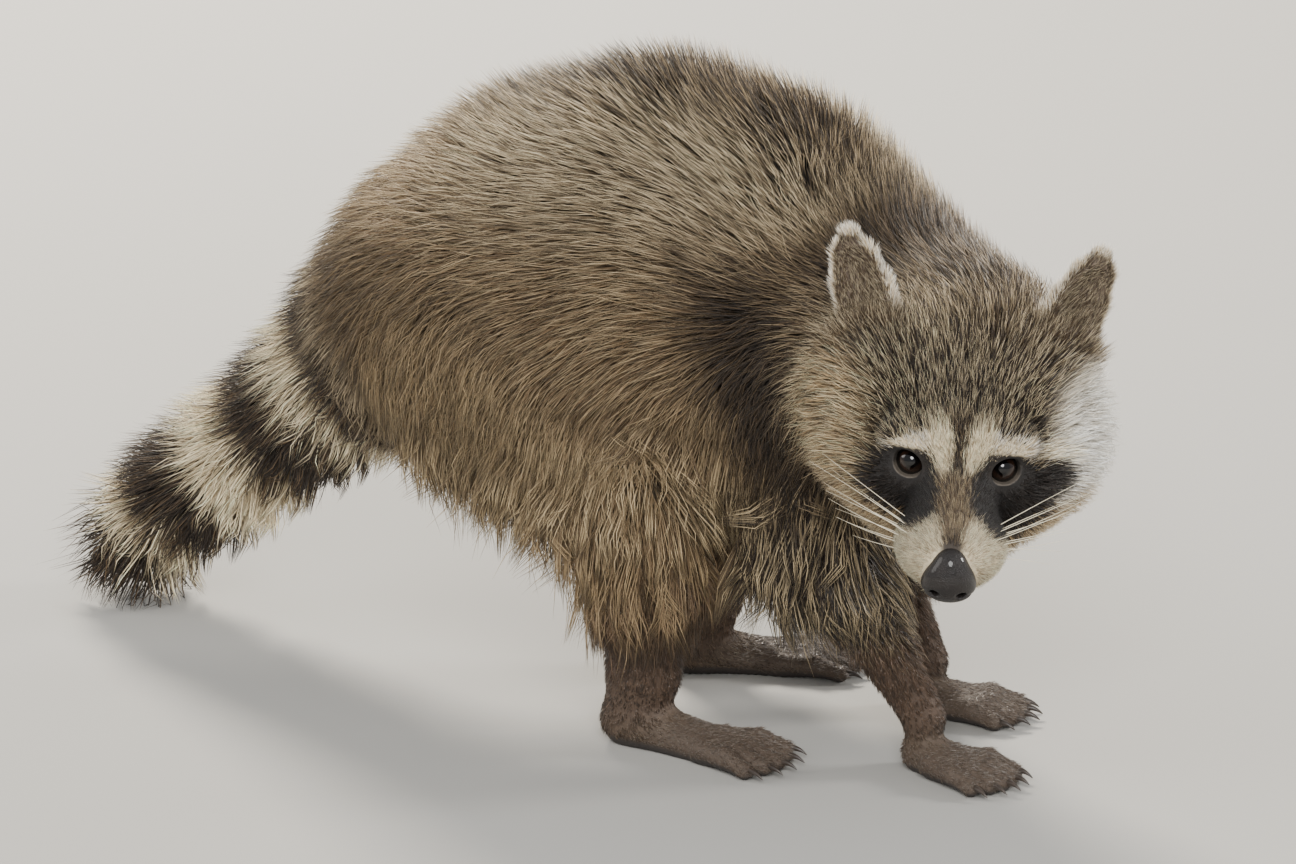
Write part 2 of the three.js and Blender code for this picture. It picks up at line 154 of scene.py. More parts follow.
# Stations are (centre, half width, half height) out to the tips of the coat.
SPINE = [((-120, -3, 190), 56, 60), ((-66, -2, 217), 70, 78), ((-6, 1, 227), 76, 91), ((44, 7, 219), 70, 91),
         ((80, 12, 200), 57, 78)]
NECK = [((98, 10, 196), 50, 60), ((138, -8, 202), 50, 50), ((182, -28, 210), 46, 48)]
TAIL = [((-128, -2, 190), 44, 50), ((-160, -2, 156), 42, 46), ((-206, -2, 112), 38, 40),
        ((-248, -2, 78), 37, 37), ((-284, -2, 52), 34, 34), ((-308, -2, 28 - SINK), 27, 34)]
HIND = {
    RIGHT: dict(joints=[(-76, -42, 172), (16, -58, 122), (19, -50, 84), (15, -46, 36), (8, -45, 13)], toes=0),
    LEFT: dict(joints=[(-80, 42, 172), (2, 62, 118), (-2, 57, 80), (-14, 54, 36), (-22, 53, 13)], toes=30),
}
HIND_RADII = [(42, 56), (28, 32), (22, 25), (16, 19), (13, 14)]
HIND_DEPTHS = (20, 14, 6, 4, 2.5)  # depths of the coat at the same joints
FORE = {
    RIGHT: dict(joints=[(92, -30, 176), (90, -24, 112), (141, -7, 26)], toes=-8),
    LEFT: dict(joints=[(88, 50, 172), (62, 58, 104), (102, 62, 26)], toes=10),
}
FORE_RADII = [(36, 46), (24, 26), (12, 13)]
FORE_DEPTHS = (18, 10, 3.2)
TRUNK_DEPTH, NECK_DEPTH, TAIL_DEPTH = 24, 19, 25.5
PAWS = {
    "hind": dict(palm=52, width=15, height=13, toe=25),
    "fore": dict(palm=20, width=13, height=11, toe=25),
}
TOES = 5
THIGH_FLOW = (-0.4, 0, -1)
LEG_COATS = {"hind": ("thigh", "thigh", "shank", "shank"), "fore": ("thigh", "shank")}

# Kinds of coat: height of the tips over the skin, length, width of a guard hair, clumping, pull
# of gravity, tufts to the square centimetre, and how much freer than the skin the tips hang.
COLUMNS = ("height", "length", "width", "clump", "gravity", "density", "hang")
COAT = {
    "trunk": (24, 38, 0.50, 0.27, 1.00, 55, 0.0),
    "neck": (19, 33, 0.48, 0.27, 1.20, 61, 0.0),
    "tail": (25, 40, 0.52, 0.45, 0.10, 63, 0.1),
    "thigh": (14, 40, 0.46, 0.42, 0.60, 62, 0.5),
    "shank": (3.2, 10, 0.46, 0.50, 0.20, 84, 0.1),
    "foot": (1.0, 4.2, 0.40, 0.35, 0.00, 130, 0.0),
    "crown": (9, 13, 0.40, 0.15, 0.00, 124, 0.0),
    "ruff": (18, 29, 0.50, 0.42, 0.35, 78, 0.0),
    "cheek": (7.5, 13, 0.38, 0.20, 0.10, 150, 0.0),
    "forehead": (6, 10, 0.36, 0.15, 0.00, 170, 0.0),
    "face": (2.8, 6, 0.32, 0.15, 0.00, 260, 0.0),
    "muzzle": (2.0, 5, 0.30, 0.15, 0.10, 290, 0.0),
    "ear": (1.6, 4, 0.30, 0.15, 0.00, 250, 0.0),
}
KINDS = list(COAT)
TABLE = np.array([COAT[k] for k in KINDS], float)


class Part:
    """A form of the flesh, its kind of coat, that coat's depth and the way that its hair runs."""

    def __init__(self, form, kind, flow=None, source=None, group="head", depth=None):
        self.form, self.kind, self.group = form, KINDS.index(kind), group
        self.depth = COAT[kind][0] if depth is None else depth
        self.flow = None if flow is None else unit(flow)
        self.source = None if source is None else np.asarray(source, float)


def less(radii, depth):
    return [r - depth for r in radii]


def chain(stations, kind, towards, depth):
    """A limb between each two stations; towards says whether its hair runs up or down the chain."""
    made = []
    for (a, *ra), (b, *rb) in zip(stations, stations[1:]):
        flow = (np.array(b) - a) * towards
        made.append(Part(limb(a, b, less(ra, depth), less(rb, depth)), kind, flow, group=kind, depth=depth))
    return made


def leg_parts(name, joints, radii, depths, kinds):
    """A limb between each two joints of a leg, with its hair running down it."""
    made = []
    for i, kind in enumerate(kinds):
        a, b = np.array(joints[i], float), np.array(joints[i + 1], float)
        form = limb(a, b, less(radii[i], depths[i]), less(radii[i + 1], depths[i + 1]))
        flow = THIGH_FLOW if kind == "thigh" else b - a
        made.append(Part(form, kind, flow, group=name, depth=(depths[i] + depths[i + 1]) / 2))
    return made


def paw_frame(root, degrees):
    """Which way a paw points, which way its width runs, and a function for places in its frame."""
    angle = math.radians(degrees)
    ahead = np.array((math.cos(angle), math.sin(angle), 0.0))
    across = np.array((-ahead[1], ahead[0], 0.0))
    ground = np.array((root[0], root[1], 0.0))
    return ahead, across, lambda f, l, u: ground + ahead * f + across * l + (0, 0, u)


CLAW_ROOTS = []  # (place, way) of each claw


def paw_parts(leg, which):
    """A sole, and five toes of two lengths each, the middle one longest."""
    size = PAWS[which]
    ahead, across, spot = paw_frame(leg["joints"][-1], leg["toes"])
    w, h, palm = size["width"] - 1.5, size["height"] - 2, size["palm"]
    sole = limb(spot(0, 0, h - SINK + 1), spot(palm, 0, 7 - SINK), (w * 0.8, h), (w, 8.5), across)
    made = [Part(sole, "foot", ahead, group="paws")]
    for i in range(TOES):
        s = i / (TOES - 1) - 0.5
        root = spot(palm - 8, s * 1.55 * size["width"], 6.4)
        tip = spot(palm + size["toe"] * (1 - s * s) + 1, s * 2.4 * size["width"], 4.1)
        knuckle = root * 0.45 + tip * 0.55 + (0, 0, 2.0)
        for a, b, ra, rb in ((root, knuckle, (3.9, 4.6), (3.6, 4.2)), (knuckle, tip, (3.6, 4.2), (3.7, 3.9))):
            made.append(Part(limb(a, b, ra, rb, across), "foot", tip - root, group="paws"))
        CLAW_ROOTS.append((tip, unit(tip - root) * 0.6 + ahead * 0.4))
    return made


def head_ovoid(place, radii, kind, source=(40, 0, -20)):
    return Part(ovoid(in_head(place), radii, HEAD), kind, source=in_head(source))


def limb_in_head(a, b, ra, rb, side=(0, 1, 0)):
    return limb(in_head(a), in_head(b), ra, rb, side)


def head_limb(a, b, ra, rb, kind, source=(62, 0, -22)):
    return Part(limb_in_head(a, b, ra, rb, HEAD[1]), kind, source=in_head(source))


def mirrored(make):
    return [make(s) for s in BOTH]


body_parts = chain(SPINE, "trunk", -1, TRUNK_DEPTH) + chain(NECK, "neck", -1, NECK_DEPTH)
body_parts += chain(TAIL, "tail", 1, TAIL_DEPTH)
for s in BOTH:
    body_parts += leg_parts(f"hind{s}", HIND[s]["joints"], HIND_RADII, HIND_DEPTHS, LEG_COATS["hind"])
    body_parts += leg_parts(f"fore{s}", FORE[s]["joints"], FORE_RADII, FORE_DEPTHS, LEG_COATS["fore"])
paw_part_list = []
for which, legs in (("hind", HIND), ("fore", FORE)):
    for leg in legs.values():
        paw_part_list += paw_parts(leg, which)

BROW = (5, 4)
head_parts = [
    head_ovoid((-44, 0, 9), (41, 41, 34), "crown"),
    head_ovoid((-18, 0, 11), (27, 30, 19.5), "forehead"),
    # ruffs, temples and cheeks
    *mirrored(lambda s: head_ovoid((-42, s * 37, -4), (20, 20, 24), "ruff", (-8, s * 10, 10))),
    *mirrored(lambda s: head_ovoid((-44, s * 31, 18), (20, 19, 18), "ruff", (-10, s * 8, 8))),
    *mirrored(lambda s: head_ovoid((-20, s * 25, -14), (25, 22, 21), "cheek", (16, s * 10, 0))),
    head_ovoid((-34, 0, -24), (36, 28, 20), "ruff", (10, 0, -20)),
    head_limb((-4, 0, -8), (38, 0, -24), (17, 19), (16, 12), "muzzle"),
    # whisker pads, bridge of the nose and chin
    *mirrored(lambda s: head_ovoid((26.5, s * 10.6, -24.5), (17, 12.6, 12), "muzzle")),
    head_limb((4, 0, 4), (40, 0, -17), (9.5, 8), (6.0, 5), "muzzle"),
    head_limb((6, 0, -30), (35, 0, -37), (16, 8), (8, 5.6), "muzzle"),
    # brow ridges, which shade the eyes
    *mirrored(lambda s: head_limb((2, s * 12, 11.5), (-4, s * 27, 11), BROW, BROW, "face", (30, s * 14, 0))),
]
NOSE_TOP = in_head((45, 0, -15))


# An ear is a pointed leaf, hollowed on the side that faces forward and out.
# Its stations are (share of the way up, half width, half depth); the hollow is an ovoid centred at a
# share of the way up and a distance out, with radii (across, up, out).
EAR_STATIONS = [(0.0, 14.8, 6.8), (0.48, 13.2, 5.4), (0.78, 9.8, 4.2), (0.95, 4.8, 2.8)]
HOLLOW_UP, HOLLOW_OUT, HOLLOW_RADII = 0.47, 7.8, (11.6, 23.5, 8.8)
EAR_EDGE = 0.8


def ear_frame(s):
    root, tip = in_head((-48, s * 41, 38)), in_head((-50, s * 56, 85))
    up = unit(tip - root)
    facing = HEAD[0] + HEAD[1] * s * 0.35
    facing = unit(facing - up * np.dot(facing, up))
    return root, tip, up, facing, np.cross(up, facing)


def ear_part(s):
    root, tip, up, facing, wide = ear_frame(s)
    at = [(root + (tip - root) * t, (w, d)) for t, w, d in EAR_STATIONS]
    lengths = [limb(a, b, ra, rb, wide) for (a, ra), (b, rb) in zip(at, at[1:])]
    hollow = ovoid(root + (tip - root) * HOLLOW_UP + facing * HOLLOW_OUT, HOLLOW_RADII, (wide, up, facing))

    def leaf(points):
        whole = blended(np.stack([form(points) for form in lengths]), EAR_EDGE)
        return carved(whole, hollow(points), EAR_EDGE)

    return Part(leaf, "ear", up, group="ear")


ear_parts = mirrored(ear_part)

# ---------------------------------------------------------------- eyes, in the head's frame
EYE_LINE = {s: unit(np.array((0.92, s * 0.20, 0.26)) @ HEAD) for s in BOTH}
EYE_AT = {s: in_head((-EYE_BACK, s * EYE_SPREAD, 0)) for s in BOTH}


def eye_base(s):
    out = EYE_LINE[s]
    across = unit(np.cross(HEAD[2], out))
    return np.stack([across, np.cross(out, across), out])


def eye_forms(s):
    base, at = eye_base(s), EYE_AT[s]
    tilt = math.radians(8) * s  # the outer corner is a little higher
    across = base[0] * math.cos(tilt) + base[1] * math.sin(tilt)
    turned = np.stack([across, np.cross(base[2], across), base[2]])
    lids = ovoid(at, [EYEBALL + LID] * 3, base)
    opening = ovoid(at + base[2] * 7, (*LID_OPENING, 9.5), turned)
    return lids, opening


EYE_FORMS = {s: eye_forms(s) for s in BOTH}
MOUTH_LINE, MOUTH_RADII = [(47, 0, -39.5), (38, 12, -37.5), (10, 24, -35)], (0.9, 0.9)
LIPS = -37  # height of the lips in the head's frame
mouth_cut = [
    limb_in_head((a[0], s * a[1], a[2]), (b[0], s * b[1], b[2]), MOUTH_RADII, MOUTH_RADII)
    for a, b in zip(MOUTH_LINE, MOUTH_LINE[1:]) for s in BOTH
]
PARTS = body_parts + paw_part_list + head_parts + ear_parts
GROUP = np.array([part.group for part in PARTS])
DEPTH = np.array([part.depth for part in PARTS])[:, None]
CORE, LEGS = ("trunk", "neck", "tail"), ("hind-1", "hind1", "fore-1", "fore1")


def body_of(each, of_core):
    """The trunk, neck and tail in one, with the legs drawn into them by broad folds of skin."""
    core = blended(each[np.isin(GROUP, CORE)], of_core)
    legs = [blended(each[GROUP == g], CHAIN_BLEND) for g in LEGS]
    return blended(np.stack([core] + legs), LEG_BLEND * smooth(core, 45, 5) + 3)


def flesh(points):
    """Distance to the skin, about, and the distance to each part."""
    each = np.stack([part.form(points) for part in PARTS])
    whole = body_of(each, FLESH_BLEND * 0.7)
    paws = blended(each[GROUP == "paws"], TOE_BLEND)
    head = blended(each[GROUP == "head"], HEAD_BLEND)
    for lids, _ in EYE_FORMS.values():
        head = blended(np.stack([head, lids(points)]), LID_BLEND)
    whole = blended(np.stack([whole, paws]), PAW_BLEND)
    whole = blended(np.stack([whole, head]), HEAD_BLEND)
    ears = blended(each[GROUP == "ear"], LEAF_BLEND)
    whole = blended(np.stack([whole, ears]), EAR_BLEND)
    near = np.abs(points - in_head((15, 0, 0))).max(1) < FACE_REACH
    if near.any():
        w = whole[near]
        for _, opening in EYE_FORMS.values():
            w = carved(w, opening(points[near]), LID_EDGE)
        for cut in mouth_cut:
            w = carved(w, cut(points[near]), MOUTH_EDGE)
        whole[near] = w
    return np.maximum(whole, FLOOR_CLEAR - points[:, 2]), each


def coat_outside(each):
    """Distance to the outside of the coat, about, from the distance to each part."""
    over = each - DEPTH
    body = body_of(over, FLESH_BLEND)
    return blended(np.stack([body, blended(over[GROUP == "head"], HEAD_BLEND)]), HEAD_BLEND)


# ---------------------------------------------------------------- fields on grids
class Grid:
    """A lattice of points that fills a box."""

    def __init__(self, low, high, cell):
        self.low, self.cell = np.asarray(low, float), float(cell)
        self.n = np.ceil((np.asarray(high) - low) / cell).astype(int) + 1

    def points(self):
        i, j, k = np.unravel_index(np.arange(np.prod(self.n)), self.n)
        return np.stack([i, j, k], 1) * self.cell + self.low

    def sample(self, values, points):
        """Trilinear values at points; values has the grid's shape, with any further axes."""
        q = (points - self.low) / self.cell
        q = np.clip(q, 0, self.n - 1.001)
        i = q.astype(int)
        f = q - i
        out = 0
        for c in range(8):
            d = np.array((c & 1, (c >> 1) & 1, c >> 2))
            w = np.prod(np.where(d, f, 1 - f), 1)
            v = values[i[:, 0] + d[0], i[:, 1] + d[1], i[:, 2] + d[2]]
            out = out + (w * v if v.ndim == 1 else w[:, None] * v)
        return out


def in_blocks(function, points, block=200000):
    return np.concatenate([function(points[i:i + block]) for i in range(0, len(points), block)])


def skin_and_coat(points):
    whole, each = flesh(points)
    return np.stack([whole, coat_outside(each)], 1)


LOW, HIGH = np.array((-345.0, -145.0, -6.0)), np.array((285.0, 118.0, 325.0))
coarse = Grid(LOW, HIGH, FUR_CELL)
coarse_value, coat_value = in_blocks(skin_and_coat, coarse.points()).T.reshape(2, *coarse.n)
coat_slope = unit(np.stack(np.gradient(coat_value, FUR_CELL), -1))


def slope_of(points, step=0.4):
    """Unit normals of the exact field, and how steep it is."""
    sides = [in_blocks(lambda p: flesh(p + d)[0] - flesh(p - d)[0], points) for d in np.eye(3) * step]
    sides = np.stack(sides, 1)
    return unit(sides), np.linalg.norm(sides, axis=1) / (2 * step)


NEAR_SKIN = 2.2 * FUR_CELL  # nearer to the skin than this, the form itself is worked out


def surface(form, low, high, cell, rough=None):
    """Surface nets: one vertex in each cell that the form's skin crosses, one quad round each crossed
    edge. A rough grid of the form, where given, saves working it out far from its skin."""
    grid = Grid(low, high, cell)
    points = grid.points()
    if rough is None:
        value = in_blocks(form, points)
    else:
        value = in_blocks(lambda p: coarse.sample(rough, p), points)
        near = np.abs(value) < NEAR_SKIN
        value[near] = in_blocks(form, points[near])
    value = value.reshape(grid.n)
    value[0], value[-1], value[:, 0], value[:, -1], value[:, :, 0], value[:, :, -1] = [cell] * 6
    inside = value < 0
    corners = [(c & 1, (c >> 1) & 1, c >> 2) for c in range(8)]

    def corner(a, c):
        return a[tuple(slice(o, n - 1 + o) for o, n in zip(c, a.shape))]

    count = sum(corner(inside, c).astype(int) for c in corners)
    crossed = (count > 0) & (count < 8)
    cells = np.argwhere(crossed)
    number = -np.ones(crossed.shape, int)
    number[crossed] = np.arange(len(cells))
    d = np.stack([corner(value, c)[crossed] for c in corners], 1)
    total, hits = np.zeros((len(cells), 3)), np.zeros(len(cells))
    for a in range(8):
        for bit in (1, 2, 4):
            b = a | bit
            if b == a:
                continue
            cut = (d[:, a] < 0) != (d[:, b] < 0)
            t = d[:, a] / np.where(cut, d[:, a] - d[:, b], 1)
            place = np.array(corners[a]) + t[:, None] * (np.array(corners[b]) - corners[a])
            total += np.where(cut[:, None], place, 0)
            hits += cut
    vertices = (cells + total / hits[:, None]) * cell + grid.low
    faces = []
    steps = np.eye(3, dtype=int)
    for axis in range(3):
        u, w = steps[(axis + 1) % 3], steps[(axis + 2) % 3]
        here = inside[tuple(slice(1, s - 1) for s in grid.n)]
        ahead = inside[tuple(slice(1 + o, s - 1 + o) for s, o in zip(grid.n, steps[axis]))]
        edge = np.argwhere(here != ahead) + 1
        out = here[here != ahead]
        square = ((0, 0), (1, 0), (1, 1), (0, 1))
        quad = np.stack([number[tuple((edge - s * u - t * w).T)] for s, t in square], 1)
        quad[~out] = quad[~out][:, ::-1]
        faces.append(quad)
    quads = np.concatenate(faces)
    quads = quads[(quads >= 0).all(1)]
    return vertices, np.concatenate([quads[:, [0, 1, 2]], quads[:, [0, 2, 3]]])


def refined(points, faces, marked):
    """Halves each edge whose two ends are marked, and parts the triangles to match."""
    pairs = np.sort(faces[:, [0, 1, 1, 2, 2, 0]].reshape(-1, 2), 1)
    unique, back = np.unique(pairs, axis=0, return_inverse=True)
    split = marked[unique].all(1)
    new = np.where(split, len(points) + np.cumsum(split) - 1, -1)
    points = np.concatenate([points, points[unique[split]].mean(1)])
    mid = new[back.reshape(-1)].reshape(-1, 3)
    count = (mid >= 0).sum(1)
    out = [faces[count == 0]]
    f, m = faces[count == 3], mid[count == 3]
    out += [np.stack(c, 1) for c in (
        (f[:, 0], m[:, 0], m[:, 2]), (m[:, 0], f[:, 1], m[:, 1]), (m[:, 2], m[:, 1], f[:, 2]))]
    out.append(m)
    f, m = faces[count == 1], mid[count == 1]
    first = m.argmax(1)
    rows = np.arange(len(f))
    a, b, c = f[rows, first], f[rows, (first + 1) % 3], f[rows, (first + 2) % 3]
    n = m[rows, first]
    out += [np.stack([a, n, c], 1), np.stack([n, b, c], 1)]
    return points, np.concatenate(out)


def pulled(points, turns, most):
    """Draws points onto the exact skin, by at most so many millimetres in each turn."""
    for _ in range(turns):
        value = in_blocks(lambda p: flesh(p)[0], points)
        normal, steep = slope_of(points)
        points = points - normal * np.clip(value / np.maximum(steep, 0.3), -most, most)[:, None]
    return points


def fine_places(points):
    """Where the skin needs smaller faces: the face, the ears and the paws."""
    head = to_head(points)
    face = (head[:, 0] > -14) & (np.abs(head[:, 1]) < 42) & (head[:, 2] > -50) & (head[:, 2] < 30)
    ears = (head[:, 2] > 34) & (np.abs(head[:, 1]) > 22)
    paws = (points[:, 2] < 18) & (points[:, 0] > -60)
    return face | ears | paws


def eye_places(points):
    """The surrounds of the eyes and the line of the mouth."""
    near = [np.linalg.norm(points - (EYE_AT[s] + EYE_LINE[s] * 5), axis=1) < 12 for s in BOTH]
    head = to_head(points)
    mouth = (head[:, 0] > 4) & (np.abs(head[:, 2] + 36.5) < 4)
    return near[0] | near[1] | mouth


def lid_places(points):
    """The edges of the eyelids."""
    near = [np.abs(EYE_FORMS[s][1](points)) < 1.8 for s in BOTH]
    return (near[0] | near[1]) & (to_head(points)[:, 0] > -6)


skin_points, skin_faces = surface(lambda p: flesh(p)[0], LOW, HIGH, SKIN_CELL, coarse_value)
skin_points = pulled(skin_points, 1, 1.2)
skin_points, skin_faces = refined(skin_points, skin_faces, fine_places(skin_points))
skin_points = pulled(skin_points, 1, 1.0)
skin_points, skin_faces = refined(skin_points, skin_faces, eye_places(skin_points))
skin_points, skin_faces = refined(skin_points, skin_faces, lid_places(skin_points))
skin_points = pulled(skin_points, 2, 0.6)
skin_points[:, 2] = np.maximum(skin_points[:, 2], FLOOR_CLEAR)


# ---------------------------------------------------------------- colours
def linear(r, g, b):
    c = np.array((r, g, b), float) / 255
    return np.where(c < 0.04045, c / 12.92, ((c + 0.055) / 1.055) ** 2.4)


BLACK = linear(30, 25, 22)
MASK = linear(44, 37, 32)
DARK = linear(56, 45, 35)
UNDERFUR = linear(83, 69, 53)
BROWN = linear(117, 95, 69)
TAN = linear(164, 140, 104)
GREY_TAN = linear(158, 141, 114)
GREY_CREAM = linear(206, 190, 158)
BUFF = linear(205, 184, 146)
CREAM = linear(230, 213, 180)
WHITE = linear(243, 239, 229)
WARM_WHITE = linear(245, 230, 196)
GREY = linear(122, 112, 100)
WET = linear(84, 66, 52)
HEAD_KINDS = ("crown", "ruff", "cheek", "forehead", "face", "muzzle", "ear")
rng = np.random.default_rng(SEED)


def mix(a, b, t):
    t = np.asarray(t)[..., None]
    return a * (1 - t) + b * t


def to_polyline(q, line):
    """Distance of points, in a plane or in space, to a line of straight lengths."""
    best = np.full(len(q), 1e9)
    for a, b in zip(np.array(line, float), np.array(line[1:], float)):
        t = np.clip(((q - a) @ (b - a)) / ((b - a) @ (b - a)), 0, 1)
        best = np.minimum(best, np.linalg.norm(q - (a + t[:, None] * (b - a)), axis=1))
    return best


def inside_outline(q, outline):
    """Signed distance to a closed outline, negative inside."""
    outline = np.array(outline, float)
    closed = np.concatenate([outline, outline[:1]])
    crossings = np.zeros(len(q), bool)
    for a, b in zip(closed, closed[1:]):
        over = (a[1] > q[:, 1]) != (b[1] > q[:, 1])
        at = a[0] + (q[:, 1] - a[1]) * (b[0] - a[0]) / (b[1] - a[1] if abs(b[1] - a[1]) > 1e-9 else 1e-9)
        crossings ^= over & (q[:, 0] < at)
    return np.where(crossings, -1, 1) * to_polyline(q, closed.tolist())


TAIL_LINE = np.array([s[0] for s in TAIL], float)
TAIL_STEPS = np.r_[0, np.cumsum(np.linalg.norm(np.diff(TAIL_LINE, axis=0), axis=1))]


def along_tail(points):
    best, place = np.full(len(points), 1e9), np.zeros(len(points))
    for i, (a, b) in enumerate(zip(TAIL_LINE, TAIL_LINE[1:])):
        t = ((points - a) @ (b - a)) / ((b - a) @ (b - a))
        t = np.clip(t, 0 if i else -1, 1 if i < len(TAIL_LINE) - 2 else 2)
        d = np.linalg.norm(points - (a + t[:, None] * (b - a)), axis=1)
        closer = d < best
        best = np.where(closer, d, best)
        place = np.where(closer, TAIL_STEPS[i] + t * (TAIL_STEPS[i + 1] - TAIL_STEPS[i]), place)
    return place


# Dark rings of the tail: (from, to) along it in millimetres.
DARK_RINGS = [(46, 76), (101, 139), (175, 213), (238, 300)]
# Marks of the face lie in a plane that is seen from the front and a little above: distance to the
# side of the middle, and height over the eye. The head's left side is a little fuller.
MASKS = {
    RIGHT: [(13.4, 6), (9.3, -1), (8.2, -9), (8.7, -17), (10.6, -21), (18.5, -25.7), (23.3, -25.7),
            (29.7, -21.7), (35.2, -17.8), (40.8, -12.2), (44.8, -8), (45.6, -4), (43, 0.5), (39, 5),
            (35, 7.4), (30, 8.5), (23, 7.7)],
    LEFT: [(13.3, 6.3), (8.5, 0.8), (6.9, -7), (6.6, -15), (10, -19), (15, -24), (19.6, -28), (26, -29),
           (32.4, -25.5), (38.7, -20), (44, -14.4), (49, -7), (53, -0.8), (54.6, 5.5), (51, 8), (45, 8.7),
           (32.4, 7.4), (26, 8.7), (19.6, 9.5)],
}
BROWS = {RIGHT: [(13, 13), (20, 12.2), (28, 10.4), (36, 9.5)], LEFT: [(14, 13.5), (30, 12.5), (50, 12)]}
BROW_HALF = {RIGHT: ((12, 20, 36), (4.6, 3.8, 0.8)), LEFT: ((14, 40), (4.6, 5.0))}
STRIPES = {
    RIGHT: [(9.8, 24), (8.3, 15), (7.7, 7), (6.4, 0.5)],
    LEFT: [(11.5, 24), (9.8, 17), (8.3, 9), (6.4, 2.4)],
}


def gather(*shares):
    return np.clip(sum(shares), 0, 1)


